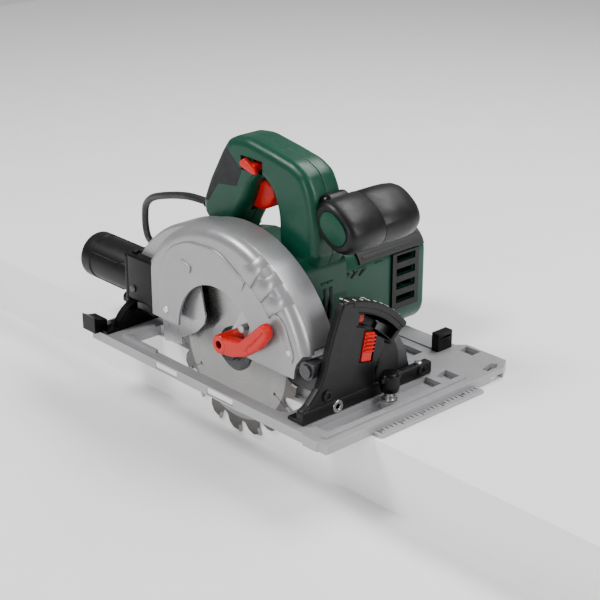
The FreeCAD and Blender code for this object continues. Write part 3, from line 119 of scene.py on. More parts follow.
def finish_of(name, colour, rough, metallic=0.0, variation=0.12, grain=900.0, depth=0.04, edge=0.35,
              edge_light=0.25, speckle=None, stretch=(1, 1, 1), specular=0.32):
    """A moulded, cast or painted finish: cloudy tone, fine grain, uneven gloss and a painted highlight that
    lightens the edges.
    """
    mat, tree, bsdf = start_material(name)
    cloud = spread(tree, noise(tree, 22, 5), 1 - variation, 1 + variation)
    fine = spread(tree, noise(tree, grain, 3, stretch), 1 - variation * 0.5, 1 + variation * 0.5)
    tone = tree.nodes.new("ShaderNodeMath")
    tone.operation = "MULTIPLY"
    tree.links.new(cloud, tone.inputs[0])
    tree.links.new(fine, tone.inputs[1])
    shade = blend_colours(tree, 1.0, colour, tone.outputs["Value"], "MULTIPLY")
    if speckle is not None:
        dots = spread(tree, noise(tree, grain * 1.6, 2), 0.0, 0.6, 0.6, 0.72)
        shade = blend_colours(tree, dots, shade, speckle)
    # Painted highlight: the edges are blended towards a lighter copy of the colour.
    mask = worn_edge(tree, edge, edge_light)
    light = tuple(min(1.0, c * 1.9 + 0.06) for c in colour)
    tree.links.new(blend_colours(tree, mask, shade, light), bsdf.inputs["Base Color"])
    gloss = spread(tree, noise(tree, 130, 4), rough * 0.86, min(1.0, rough * 1.16))
    tree.links.new(gloss, bsdf.inputs["Roughness"])
    bsdf.inputs["Metallic"].default_value = metallic
    bsdf.inputs["Specular IOR Level"].default_value = specular
    bump = tree.nodes.new("ShaderNodeBump")
    bump.inputs["Strength"].default_value = 0.55
    bump.inputs["Distance"].default_value = depth * MM
    tree.links.new(noise(tree, grain, 3, stretch), bump.inputs["Height"])
    tree.links.new(bump.outputs["Normal"], bsdf.inputs["Normal"])
    return mat


def turned_metal(name, colour, rough, axis="Y", anisotropy=0.85, rings=2600.0, dark_ring=None):
    """Metal with a circular grain about an axis through the piece's middle."""
    mat, tree, bsdf = start_material(name)
    coords = tree.nodes.new("ShaderNodeTexCoord")
    centred = tree.nodes.new("ShaderNodeVectorMath")
    centred.operation = "SUBTRACT"
    centred.inputs[1].default_value = ARBOR * MM
    tree.links.new(coords.outputs["Object"], centred.inputs[0])
    flat = tree.nodes.new("ShaderNodeVectorMath")
    flat.operation = "MULTIPLY"
    flat.inputs[1].default_value = (1, 0, 1) if axis == "Y" else (1, 1, 0)
    tree.links.new(centred.outputs["Vector"], flat.inputs[0])
    radius = tree.nodes.new("ShaderNodeVectorMath")
    radius.operation = "LENGTH"
    tree.links.new(flat.outputs["Vector"], radius.inputs[0])
    line = tree.nodes.new("ShaderNodeTexNoise")
    line.noise_dimensions = "1D"
    line.inputs["Scale"].default_value = rings
    line.inputs["Detail"].default_value = 5
    tree.links.new(radius.outputs["Value"], line.inputs["W"])
    tone = spread(tree, line.outputs["Fac"], 0.82, 1.12)
    shade = blend_colours(tree, 1.0, colour, tone, "MULTIPLY")
    smudge = spread(tree, noise(tree, 30, 5), 0.92, 1.05)
    shade = blend_colours(tree, 1.0, shade, smudge, "MULTIPLY")
    if dark_ring is not None:
        border, dark = dark_ring
        outside = spread(tree, radius.outputs["Value"], 0.0, 1.0, (border - 0.3) * MM, (border + 0.3) * MM)
        shade = blend_colours(tree, outside, shade, dark)
    tree.links.new(shade, bsdf.inputs["Base Color"])
    bsdf.inputs["Metallic"].default_value = 1.0
    tree.links.new(spread(tree, line.outputs["Fac"], rough * 0.8, rough * 1.25), bsdf.inputs["Roughness"])
    bsdf.inputs["Anisotropic"].default_value = anisotropy
    tangent = tree.nodes.new("ShaderNodeTangent")
    tangent.direction_type = "RADIAL"
    tangent.axis = axis
    tree.links.new(tangent.outputs["Tangent"], bsdf.inputs["Tangent"])
    bump = tree.nodes.new("ShaderNodeBump")
    bump.inputs["Strength"].default_value = 0.15
    bump.inputs["Distance"].default_value = 0.01 * MM
    tree.links.new(line.outputs["Fac"], bump.inputs["Height"])
    tree.links.new(bump.outputs["Normal"], bsdf.inputs["Normal"])
    return mat


GREEN = finish_of("green_shell", (0.002, 0.050, 0.027), 0.34, variation=0.08, grain=1500, depth=0.03,
                  edge=0.5, edge_light=0.3)
CHARCOAL = finish_of("charcoal_shell", (0.006, 0.006, 0.0065), 0.38, variation=0.15, grain=1300, depth=0.05,
                     edge=0.4, edge_light=0.12, specular=0.26)
BLACK = finish_of("black_part", (0.0015, 0.0015, 0.0018), 0.32, variation=0.15, grain=1100, depth=0.04,
                  edge=0.35, edge_light=0.1, specular=0.2)
GRIP = finish_of("grip_skin", (0.022, 0.024, 0.025), 0.7, variation=0.12, grain=2200, depth=0.12, edge=0.4,
                 edge_light=0.12)
PAD = finish_of("pad_rubber", (0.03, 0.03, 0.031), 0.5, variation=0.12, grain=1600, depth=0.08, edge=0.4,
                edge_light=0.2)
RED = finish_of("red_part", (0.56, 0.006, 0.003), 0.3, variation=0.06, grain=1500, depth=0.03, edge=0.4,
                edge_light=0.3)
GUARD = finish_of("guard_silver", (0.33, 0.33, 0.34), 0.34, metallic=0.55, variation=0.05, grain=1900,
                  depth=0.03, edge=0.6, edge_light=0.5, speckle=(0.46, 0.46, 0.47))
SHIELD = finish_of("shield_silver", (0.42, 0.42, 0.43), 0.3, metallic=0.7, variation=0.04, grain=2100,
                   depth=0.01, edge=0.12, edge_light=0.2)
CAST = finish_of("cast_base", (0.37, 0.37, 0.38), 0.42, metallic=0.35, variation=0.06, grain=1500,
                 depth=0.06, edge=0.7, edge_light=0.6, speckle=(0.34, 0.34, 0.35))
STRIP = finish_of("light_strip", (0.78, 0.77, 0.75), 0.5, variation=0.03, grain=1800, depth=0.02)
STEEL = finish_of("bright_steel", (0.62, 0.61, 0.6), 0.24, metallic=1.0, variation=0.08, grain=1400,
                  depth=0.02)
ZINC = finish_of("zinc_steel", (0.5, 0.5, 0.49), 0.34, metallic=1.0, variation=0.1, grain=900, depth=0.03)
DARK_STEEL = finish_of("dark_steel", (0.09, 0.09, 0.095), 0.34, metallic=0.9, variation=0.1, grain=900,
                       depth=0.03)
ALUMINIUM = finish_of("gear_aluminium", (0.58, 0.58, 0.58), 0.44, metallic=0.9, variation=0.08, grain=700,
                      depth=0.08)
CARBIDE = finish_of("carbide", (0.3, 0.29, 0.28), 0.3, metallic=0.9, variation=0.15, grain=2500, depth=0.04)
COPPER = finish_of("copper", (0.72, 0.3, 0.14), 0.32, metallic=1.0, variation=0.1, grain=800, depth=0.05,
                   stretch=(1, 9, 1))
LAMINATION = finish_of("lamination", (0.28, 0.28, 0.29), 0.4, metallic=0.8, variation=0.12, grain=1500,
                       depth=0.1, stretch=(0.05, 1, 0.05))
CARBON = finish_of("carbon", (0.03, 0.03, 0.03), 0.6, variation=0.2, grain=900, depth=0.06)
CORD_SKIN = finish_of("cord_rubber", (0.016, 0.016, 0.017), 0.48, variation=0.15, grain=1000, depth=0.04,
                      edge=0.2, edge_light=0.1)
WHITE_PRINT = finish_of("print_white", (0.8, 0.8, 0.8), 0.55, variation=0.03, grain=1500, depth=0.01)
BLADE = turned_metal("blade_steel", (0.36, 0.355, 0.35), 0.26, dark_ring=(65.5, (0.15, 0.145, 0.14)))

SLOT_FINISH = {"cast_base": CAST, "guard_metal": GUARD, "green_plastic": GREEN, "charcoal_plastic": CHARCOAL,
               "black_steel": DARK_STEEL, "red_plastic": RED, "rubber_grey": GRIP, "bumper_grey": PAD,
               "blade_steel": BLADE, "carbide": CARBIDE, "bright_steel": STEEL, "zinc_steel": ZINC,
               "gear_aluminium": ALUMINIUM, "lamination": LAMINATION, "copper": COPPER, "carbon": CARBON,
               "cord_rubber": CORD_SKIN}


def finish_cad_nodes():
    """Every CAD node takes the finish of its material slot, apart from the few in by_node."""
    by_node = {"lower_guard": SHIELD, "base_plate": CAST, "front_quadrant": CHARCOAL, "groove_cap": BLACK,
               "rear_bracket": BLACK, "dust_adapter": BLACK}
    for name, obj in NODES.items():
        old = obj.data.materials[0].name.split(".")[0] if obj.data.materials else ""
        finish = by_node.get(name) or SLOT_FINISH.get(old)
        if finish is None:
            raise SystemExit("no finish for %s, slot %s" % (name, old))
        obj.data.materials.clear()
        obj.data.materials.append(finish)


# ---------------------------------------------------------------- mesh building

def fillet(points, radius, steps=5, closed=True):
    """An outline with each corner replaced by an arc; a point may carry its own radius as a third value."""
    spots = [Vector(p[:2]) for p in points]
    sizes = [p[2] if len(p) > 2 else radius for p in points]
    count = len(spots)
    made = []
    for i, here in enumerate(spots):
        if not closed and i in (0, count - 1):
            made.append(here.copy())
            continue
        before, after = spots[i - 1], spots[(i + 1) % count]
        a, b = (before - here), (after - here)
        angle = a.angle(b)
        if sizes[i] <= 0 or angle > math.radians(179):
            made.append(here.copy())
            continue
        reach = min(sizes[i] / math.tan(angle / 2), 0.49 * a.length, 0.49 * b.length)
        size = reach * math.tan(angle / 2)
        start, end = here + a.normalized() * reach, here + b.normalized() * reach
        centre = here + (a.normalized() + b.normalized()).normalized() * (size / math.sin(angle / 2))
        first, last = start - centre, end - centre
        turn = first.angle_signed(last)
        for k in range(steps + 1):
            spin = -turn * k / steps
            made.append(centre + Vector((first.x * math.cos(spin) - first.y * math.sin(spin),
                                         first.x * math.sin(spin) + first.y * math.cos(spin))))
    return made


def inset(outline, depth):
    """A closed outline moved inwards by a depth, corner by corner."""
    count = len(outline)
    area = sum(outline[i].x * outline[(i + 1) % count].y - outline[(i + 1) % count].x * outline[i].y
               for i in range(count))
    side = 1 if area > 0 else -1
    moved = []
    for i, here in enumerate(outline):
        a = (here - outline[i - 1])
        b = (outline[(i + 1) % count] - here)
        if a.length < 1e-9 or b.length < 1e-9:
            a = b = a if a.length > b.length else b
        a, b = a.normalized(), b.normalized()
        both = Vector((-a.y - b.y, a.x + b.x)) * side
        moved.append(here + both * (2 * depth / max(both.length_squared, 0.8)))
    return moved


def in_space(axis, u, v, along):
    """Outlines lie in xz for pieces along y, in yz along x, and in xy along z."""
    return {"y": Vector((u, along, v)), "x": Vector((along, u, v)), "z": Vector((u, v, along))}[axis] * MM


def from_bmesh(name, bm, finish, sharp=34):
    bmesh.ops.remove_doubles(bm, verts=bm.verts, dist=2e-6)
    bmesh.ops.recalc_face_normals(bm, faces=bm.faces)
    mesh = bpy.data.meshes.new(name)
    bm.to_mesh(mesh)
    bm.free()
    mesh.shade_smooth()
    mesh.set_sharp_from_angle(angle=math.radians(sharp))
    obj = bpy.data.objects.new(name, mesh)
    bpy.context.scene.collection.objects.link(obj)
    mesh.materials.append(finish)
    return obj


def skin_rings(name, rings, finish, closed_ends=(True, True), sharp=34):
    """A skin through rings of points with the same count, with flat ends where asked."""
    bm = bmesh.new()
    loops = [[bm.verts.new(p) for p in ring] for ring in rings]
    count = len(loops[0])
    for low, high in zip(loops, loops[1:]):
        for i in range(count):
            j = (i + 1) % count
            bm.faces.new((low[i], low[j], high[j], high[i]))
    for wanted, loop in zip(closed_ends, (loops[0], loops[-1])):
        if wanted:
            face = bm.faces.new(loop)
            face.normal_update()
            bmesh.ops.triangulate(bm, faces=[face])
    return from_bmesh(name, bm, finish, sharp)


def slab(name, outline, axis, start, end, finish, round_start=0.6, round_end=0.6, corner=1.0, steps=4,
         fine=5):
    """A plate or block from an outline, with rounded borders at both faces."""
    least = max(round_start, round_end) + 0.8
    radii = [p[2] if len(p) > 2 else corner for p in outline]
    ring = fillet([(p[0], p[1], max(r, least) if r > 0 else 0) for p, r in zip(outline, radii)], 0, fine)
    rings = []
    for size, face, way in ((round_start, start, 1), (round_end, end, -1)):
        part = []
        for k in range(steps + 1):
            angle = math.pi / 2 * k / steps
            loop = inset(ring, size * (1 - math.sin(angle))) if k < steps else ring
            part.append([in_space(axis, p.x, p.y, face + way * size * (1 - math.cos(angle))) for p in loop])
        if size >= 1.8:
            flat = inset(ring, size + 0.5)
            part.insert(0, [in_space(axis, p.x, p.y, face) for p in flat])
        rings += part if way > 0 else part[::-1]
    return skin_rings(name, rings, finish)


def lathe(name, axis, centre, profile, finish, corner=0.5, segments=72, sharp=34):
    """A turned piece: profile points are (distance along the axis, radius); radius 0 ends close it."""
    line = fillet(profile, corner, 3, closed=False)
    rings = []
    for p in line:
        ring = []
        for i in range(segments):
            angle = 2 * math.pi * i / segments
            c, s = max(p.y, 0.01) * math.cos(angle), max(p.y, 0.01) * math.sin(angle)
            ring.append({"y": Vector((centre[0] + c, p.x, centre[1] + s)),
                         "x": Vector((p.x, centre[0] + c, centre[1] + s)),
                         "z": Vector((centre[0] + c, centre[1] + s, p.x))}[axis] * MM)
        rings.append(ring)
    ends = (profile[0][1] == 0, profile[-1][1] == 0)
    return skin_rings(name, rings, finish, ends, sharp)


def block(name, low, high, finish, edge=0.4, axis="y"):
    """A rounded block between two corners."""
    (x0, y0, z0), (x1, y1, z1) = low, high
    corners, start, end = {"x": ([(y0, z0), (y1, z0), (y1, z1), (y0, z1)], x0, x1),
                           "y": ([(x0, z0), (x1, z0), (x1, z1), (x0, z1)], y0, y1),
                           "z": ([(x0, y0), (x1, y0), (x1, y1), (x0, y1)], z0, z1)}[axis]
    return slab(name, corners, axis, start, end, finish, edge, edge, edge, 3, 3)


def cutter(outline, axis, start, end):
    """A plain closed prism for booleans."""
    rings = [[in_space(axis, p[0], p[1], along) for p in outline] for along in (start, end)]
    return skin_rings("cutter", rings, BLACK)


def box_cutter(low, high):
    (x0, y0, z0), (x1, y1, z1) = low, high
    return cutter([(x0, z0), (x1, z0), (x1, z1), (x0, z1)], "y", y0, y1)


def join(name, parts):
    """One object from several that share a body."""
    bpy.ops.object.select_all(action="DESELECT")
    for part in parts:
        part.select_set(True)
    bpy.context.view_layer.objects.active = parts[0]
    bpy.ops.object.join()
    parts[0].name = name
    parts[0].data.name = name
    return parts[0]


def boolean(obj, cutter, operation):
    """Applies a boolean and removes the cutter."""
    modifier = obj.modifiers.new("cut", "BOOLEAN")
    modifier.operation = operation
    modifier.solver = "MANIFOLD"
    modifier.object = cutter
    bpy.context.view_layer.update()
    graph = bpy.context.evaluated_depsgraph_get()
    made = bpy.data.meshes.new_from_object(obj.evaluated_get(graph))
    obj.modifiers.clear()
    obj.data = made
    obj.data.shade_smooth()
    obj.data.set_sharp_from_angle(angle=math.radians(34))
    bpy.data.objects.remove(cutter)
    return obj


def settle(obj, body, slot, *replaced):
    """Puts a finished piece on its body and hides the CAD nodes it stands for; the slot is not used."""
    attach(obj, body)
    if replaced:
        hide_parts(*replaced)
    return obj


def turn_about(obj, point, axis, degrees):
    """Turns a new piece's mesh about a point given in millimetres."""
    pivot = Matrix.Translation(Vector(point) * MM)
    obj.data.transform(pivot @ Matrix.Rotation(math.radians(degrees), 4, axis) @ pivot.inverted())
    return obj


def polar(radius, degrees, across=0.0, up=0.0):
    angle = math.radians(degrees)
    return (across + radius * math.cos(angle), up + radius * math.sin(angle))


def number(name, text, size, matrix, finish, height=0.15):
    """Raised scale lettering, digits only."""
    curve = bpy.data.curves.new(name, "FONT")
    curve.body = text
    curve.size = size * MM
    curve.extrude = height * MM
    curve.align_x = "CENTER"
    curve.align_y = "CENTER"
    obj = bpy.data.objects.new(name, curve)
    bpy.context.scene.collection.objects.link(obj)
    obj.matrix_world = matrix
    bpy.context.view_layer.update()
    graph = bpy.context.evaluated_depsgraph_get()
    mesh = bpy.data.meshes.new_from_object(obj.evaluated_get(graph))
    mesh.transform(matrix)
    bpy.data.objects.remove(obj)
    made = bpy.data.objects.new(name, mesh)
    bpy.context.scene.collection.objects.link(made)
    mesh.materials.clear()
    mesh.materials.append(finish)
    return made


# ---------------------------------------------------------------- camera, light and stage

def make_camera():
    azimuth, elevation = math.radians(47.33), math.radians(22.41)
    data = bpy.data.cameras.new("camera")
    data.sensor_width = 36
    data.lens = 92.1
    obj = bpy.data.objects.new("camera", data)
    obj.location = (0.9367, -0.7880, 0.5746)
    obj.rotation_euler = (math.pi / 2 - elevation, 0, azimuth)
    bpy.context.scene.collection.objects.link(obj)
    bpy.context.scene.camera = obj


def make_light(name, place, aim, size, power, colour=(1, 1, 1)):
    data = bpy.data.lights.new(name, "AREA")
    data.shape = "RECTANGLE"
    data.size, data.size_y = size
    data.energy = power
    data.color = colour
    obj = bpy.data.objects.new(name, data)
    obj.location = place
    obj.rotation_euler = (Vector(aim) - Vector(place)).to_track_quat("-Z", "Y").to_euler()
    bpy.context.scene.collection.objects.link(obj)


def make_stage():
    world = bpy.data.worlds.new("studio")
    world.use_nodes = True
    world.node_tree.nodes["Background"].inputs["Color"].default_value = (1, 1, 1, 1)
    world.node_tree.nodes["Background"].inputs["Strength"].default_value = 0.30
    bpy.context.scene.world = world
    make_light("key", (-0.55, -0.75, 1.35), (0, 0.05, 0.05), (0.5, 0.5), 20)
    make_light("top", (0.15, 0.75, 1.25), (0, 0.08, 0.05), (1.2, 0.5), 18)
    make_light("side", (1.35, 0.45, 0.75), (0, 0.1, 0.08), (0.3, 0.9), 11)
    make_light("near_strip", (0.5, -1.5, 0.5), (0, 0, 0.05), (0.25, 0.9), 8)

    paper = finish_of("floor_paper", (0.97, 0.97, 0.97), 0.7, variation=0.01, grain=300, depth=0.01)
    platform = slab("platform", [(-1500, 1.8), (1500, 1.8), (1500, 1800), (-1500, 1800)], "z", -60, -0.05,
                    paper, 0, 0.8, 0)
    low = slab("lower_floor", [(-2500, -2500), (2500, -2500), (2500, 2500), (-2500, 2500)], "z", -62, -58,
               paper, 0, 0, 0)


# ---------------------------------------------------------------- mains lead

LEAD_RADIUS = 3.5
LEAD_ROUTE = [(-90, 44, 127), (-110, 44, 127), (-139, 50, 120), (-169, 56, 111), (-197, 62, 101),
              (-218, 70, 87), (-233, 80, 69), (-249, 92, 49), (-265, 107, 28), (-280, 129, 11),
              (-283, 153, 3.7)]
LEAD_SPLIT = -169
TAIL_ROUTE = [(-191.3, 96, 22), (-215, 87.5, 18), (-239, 81, 13), (-262, 81, 13)]
COIL_CENTRE = (-217.5, 152)
COIL_INNER, COIL_OUTER = 28.6, 54.4
LAYER_HEIGHTS = (3.7, 10.9, 18.1, 25.3)
TURNS_PER_LAYER = 3.5
LAST_TURNS = 3.125
POINTS_PER_TURN = 16


def coil_points():
    """Flat spirals, each a diameter above the last: the first winds inwards, the next outwards."""
    points = []
    angle = 180.0
    layers = len(LAYER_HEIGHTS)
    for layer, height in enumerate(LAYER_HEIGHTS):
        inward = layer % 2 == 0
        turns = TURNS_PER_LAYER if layer < layers - 1 else LAST_TURNS
        steps = round(turns * POINTS_PER_TURN)
        for k in range(steps):
            share = k / (TURNS_PER_LAYER * POINTS_PER_TURN)
            radius = COIL_OUTER + (COIL_INNER - COIL_OUTER) * (share if inward else 1 - share)
            x, y = polar(radius, angle, *COIL_CENTRE)
            points.append((x, y, height))
            angle -= 360.0 / POINTS_PER_TURN
    return points


def lead_line():
    """The whole lead as one NURBS spline, read out as a polyline with no bevel."""
    route = LEAD_ROUTE + coil_points() + TAIL_ROUTE
    curve = bpy.data.curves.new("lead_line", "CURVE")
    curve.dimensions = "3D"
    curve.resolution_u = 6
    spline = curve.splines.new("NURBS")
    spline.points.add(len(route) - 1)
    for point, place in zip(spline.points, route):
        point.co = (place[0] * MM, place[1] * MM, place[2] * MM, 1)
    spline.order_u = 3
    spline.use_endpoint_u = True
    obj = bpy.data.objects.new("lead_line", curve)
    bpy.context.scene.collection.objects.link(obj)
    mesh = bpy.data.meshes.new_from_object(obj)
    line = [v.co.copy() for v in mesh.vertices]
    bpy.data.objects.remove(obj)
    bpy.data.meshes.remove(mesh)
    return line


def tube(name, line, radius, finish, segments=14):
    """A round skin along a polyline, its section carried along without twisting."""
    rings = []
    side = None
    for i, here in enumerate(line):
        way = (line[min(i + 1, len(line) - 1)] - line[max(i - 1, 0)]).normalized()
        if side is None:
            side = way.orthogonal().normalized()
        side = (side - way * side.dot(way)).normalized()
        other = way.cross(side)
        rings.append([here + (side * math.cos(2 * math.pi * k / segments)
                              + other * math.sin(2 * math.pi * k / segments)) * radius * MM
                      for k in range(segments)])
    return skin_rings(name, rings, finish)


def length_of(line):
    return sum((b - a).length for a, b in zip(line, line[1:]))


def make_lead():
    line = lead_line()
    split = next(i for i, p in enumerate(line) if p.x < LEAD_SPLIT * MM)
    first, second = line[:split + 1], line[split:]
    near = tube("lead_at_saw", first, LEAD_RADIUS, CORD_SKIN)
    rest = tube("lead_and_coil", second, LEAD_RADIUS, CORD_SKIN)
    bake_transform(near)
    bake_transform(rest)
    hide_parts("cord_lead")
    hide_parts("cord_lead", "cord_coil", "cord_tail")
    plug = make_plug()
    print("lead", round(length_of(first), 3), round(length_of(second), 3), "all", round(length_of(line), 3))


def make_plug():
    """A plain two-pin moulded plug with a ribbed strain relief."""
    y, z = 81, 13
    profile = [(-302, 0), (-302, 12), (-298, 13), (-276, 12), (-264, 6.4), (-262, 5), (-262, 3.6),
               (-270, 3.6), (-270, 0)]
    parts = [lathe("plug_shell", "x", (y, z), profile, CORD_SKIN, 1.2)]
    for i in range(5):
        at = -293 + 4 * i
        top = 13.2 - 0.1 * i
        profile = [(at, 11.4), (at, top), (at + 1.6, top), (at + 1.6, 11.4)]
        parts.append(lathe("plug_rib_%d" % i, "x", (y, z), profile, CORD_SKIN, 0.4))
    for i, pin_y in enumerate((71.5, 90.5)):
        profile = [(-321, 0), (-321, 1.6), (-320, 2.4), (-301, 2.4), (-301, 0)]
        parts.append(lathe("plug_pin_%d" % i, "x", (pin_y, z), profile, STEEL, 0.3))
    plug = join("mains_plug_detail", parts)
    return settle(plug, "base", "cord_rubber", "mains_plug")


def make_strain_relief():
    """A tapered sleeve with ring grooves."""
    profile = [(-90, 3.55), (-90, 4.9)]
    for i in range(5):
        at = -87.5 + 4 * i
        size = 5.2 + 0.42 * i
        profile += [(at, size), (at, size - 0.8), (at + 1.1, size - 0.8), (at + 1.1, size + 0.1)]
    profile += [(-68, 7.5), (-67.5, 8.3), (-64, 8.3), (-64, 0)]
    relief = lathe("strain_sleeve", "x", (44, 127), profile, CORD_SKIN, 0.25)
    settle(relief, "saw", "cord_rubber", "strain_relief")


# ---------------------------------------------------------------- handle

HANDLE_OUTSIDE = [(-62, 108, 0), (-66, 119, 6), (-73, 126, 6), (-75, 138, 30), (-65, 160, 60),
                  (-48, 189, 26), (-40, 200, 10), (-30, 205, 14), (-13, 207, 40), (18, 202, 60),
                  (44, 197, 40), (58, 190, 16), (66, 176, 40), (72, 150, 60), (74, 122, 8), (66, 104, 0)]
HANDLE_INSIDE = [(30, 104, 0), (26, 119, 20), (25, 152, 60), (16, 170, 26), (1, 177, 20), (-8, 165, 8),
                 (-14, 150, 30), (-30, 124, 14), (-38, 108, 0)]
SKIN_OUTLINE = [(-84, 139), (-70, 176), (-46, 203), (-35, 190), (-19, 177), (-26, 162), (-51, 158.5),
                (-65, 139)]


def handle_half(name, start, end, round_start, round_end):
    outline = HANDLE_OUTSIDE + HANDLE_INSIDE
    half = slab(name, outline, "y", start, end, GREEN, round_start, round_end, 8, 7, 6)
    rooms = [((-30, 37, 138), (10, 51, 172)), ((-68, 35.5, 117.6), (-38, 52.5, 135.6)),
             ((-100, 36.3, 119.3), (-60, 51.7, 134.7)), ((-48, 34, 142), (-26, 54, 172)),
             ((-20, 20, 178), (8, 32, 191)), ((-20, 56, 178), (8, 80, 191)),
             ((-11.5, 30, 179.5), (1.5, 58, 187.5))]
    for low, high in rooms:
        boolean(half, box_cutter(low, high), "DIFFERENCE")
    return half


def make_handle():
    gap = 0.15
    for name, start, end, rounds in (("near", HANDLE_NEAR, HANDLE_SEAM - gap, (8, 0.5)),
                                     ("far", HANDLE_SEAM + gap, HANDLE_FAR, (0.5, 8))):
        half = handle_half("handle_%s" % name, start, end, *rounds)
        skin = half.copy()
        skin.data = half.data.copy()
        bpy.context.scene.collection.objects.link(skin)
        skin.name = "grip_skin_%s" % name
        outline = fillet(SKIN_OUTLINE, 3, 4)
        boolean(skin, cutter(outline, "y", 10, 80), "INTERSECT")
        boolean(half, cutter(inset(outline, -0.3), "y", 10, 80), "DIFFERENCE")
        skin.data.materials.clear()
        skin.data.materials.append(GRIP)
        half.data.materials.clear()
        half.data.materials.append(GREEN)
        settle(half, "saw", "green_plastic", "handle_shell_%s" % name)
        settle(skin, "saw", "rubber_grey", "grip_insert")


def make_handle_screws():
    """Recessed screws on the handle's far side."""
    for i, (x, z) in enumerate([(-52, 128), (-56, 176), (-22, 197), (46, 182), (60, 132), (34, 128)]):
        rim = [(62.4, 2.6), (63.5, 2.9), (63.5, 4.6), (62.6, 5.2)]
        top = [(62.6, 0), (62.6, 2.6), (63.1, 2.2), (63.2, 0)]
        collar = lathe("screw_collar_%d" % i, "y", (x, z), rim, GREEN)
        head = lathe("screw_head_%d" % i, "y", (x, z), top, DARK_STEEL, 0.2)
        settle(join("handle_screw_%d" % i, [collar, head]), "saw", "green_plastic")


def make_controls():
    outline = [(-24, 142), (-8, 141), (4, 147), (9, 156), (6, 166), (-2, 170), (-10, 168), (-20, 160)]
    trigger = slab("trigger_detail", outline, "y", 37.3, 50.7, RED, 2.6, 2.6, 4, 5)
    settle(trigger, "trigger", "red_plastic", "trigger")
    parts = [block("lock_rod", (-10.5, 23, 180.5), (0.5, 65, 186.5), RED, 0.5)]
    for name, start, end in (("near", 20.6, 25.2), ("far", 62.8, 67.4)):
        outline = [(-17.5, 186.5), (-12, 190.5), (2, 183.5), (5, 179.2), (-1, 178.6), (-15, 182)]
        parts.append(slab("lock_pad_%s" % name, outline, "y", start, end, RED, 1.2, 1.2, 1.6))
    settle(join("lock_off_detail", parts), "lock_off", "red_plastic", "lock_off_button")
    button = lathe("spindle_lock_detail", "x", (24.5, 68), [(64, 0), (64, 6), (75.4, 6), (77, 4.4), (77, 0)],
                   RED, 1)
    settle(button, "spindle_lock", "red_plastic", "spindle_lock_button")


BAR_CENTRE = (88, 151)
BAR_SLOPE = -32
BAR_LONG, BAR_SHORT = 26.0, 18.5


def bar_ring(scale, along, count=64, grow=0.0):
    """The front bar's section, an oblong with rounded ends, at a place along y."""
    half_long, half_short = BAR_LONG * scale + grow, BAR_SHORT * scale + grow
    turn = math.radians(BAR_SLOPE)
    ring = []
    for i in range(count):
        angle = 2 * math.pi * i / count
        c, s = math.cos(angle), math.sin(angle)
        u = half_long * math.copysign(abs(c) ** 0.86, c)
        v = half_short * math.copysign(abs(s) ** 0.86, s)
        ring.append(Vector((BAR_CENTRE[0] + u * math.cos(turn) - v * math.sin(turn), along,
                            BAR_CENTRE[1] + u * math.sin(turn) + v * math.cos(turn))) * MM)
    return ring


def make_front_bar():
    near = [(0.60, 33.2), (0.64, 31), (0.80, 30.2), (0.88, 31.2), (0.95, 34), (0.985, 38), (1, 43),
            (1, 67.2), (0.985, 67.9)]
    core = skin_rings("front_bar_core", [bar_ring(s, y) for s, y in near], CHARCOAL)
    far = [(0.975, 68.1), (0.99, 68.6), (0.99, 90), (0.975, 100), (0.93, 108), (0.85, 112), (0.72, 113.8),
           (0.5, 114)]
    cap = skin_rings("front_bar_cap", [bar_ring(s, y) for s, y in far], CHARCOAL)
    plug = skin_rings("front_bar_plug", [bar_ring(s, y) for s, y in (
        (0.60, 33), (0.62, 30.9), (0.605, 30.1), (0.57, 29.9))], GREEN)
    outline = [(60, 146), (60, 164), (65, 173), (74, 176), (84, 166), (90, 150), (84, 138), (70, 136)]
    neck = slab("front_bar_neck", outline, "y", 34, 60, BLACK, 7, 2, 7, 6)
    core = join("front_bar_detail", [core, neck])
    settle(core, "saw", "charcoal_plastic", "front_handle_core")
    settle(cap, "saw", "charcoal_plastic", "front_handle_cap")
    settle(plug, "saw", "green_plastic", "front_handle_plug")


# ---------------------------------------------------------------- guards and their fittings

def make_guard_lever():
    outline = [(11, 50), (9, 40), (17, 35.5), (32, 37), (50, 43), (67, 55), (78, 69), (77, 77), (71, 80),
               (57, 67), (43, 55), (29, 53)]
    arm = slab("lever_arm", outline, "y", -34, -25.2, RED, 2.2, 2.2, 6, 5)
    profile = [(-26, 0), (-26, 3.5), (-34.3, 3.5), (-34.3, 7.6), (-33.4, 8.5), (-12.2, 8.5), (-12.2, 0)]
    boss = lathe("lever_boss", "y", (17, 44), profile, RED, 0.6)
    for part in (arm, boss):
        boolean(part, box_cutter((0, -30.6, 30), (60, -22.4, 39.7)), "DIFFERENCE")
    drill = lathe("bore", "y", (17, 44), [(-40, 0), (-40, 3.5), (-25.6, 3.5), (-25.6, 0)], BLACK, 0)
    boolean(arm, drill, "DIFFERENCE")
    parts = [arm, boss]
    for i in range(4):
        x, z = 54 + 5.2 * i, 53.5 + 5.2 * i
        rib = block("lever_rib_%d" % i, (x - 1, -34.8, z - 5), (x + 1, -33.2, z + 5), RED, 0.7)
        parts.append(turn_about(rib, (x, -34, z), "Y", 42))
    settle(join("guard_lever_detail", parts), "swing_guard", "red_plastic", "guard_lever")
    profile = [(-25, 0), (-25, 3.6), (-14, 3.6), (-12, 2.6), (-12, 0)]
    pin = lathe("lever_pin_detail", "y", (35.5, 61.5), profile, SHIELD)
    settle(pin, "swing_guard", "guard_metal", "lever_rest_pin")


GUARD_FACE = -22
SHOULDER_START, SHOULDER_ROUND = 100, 14


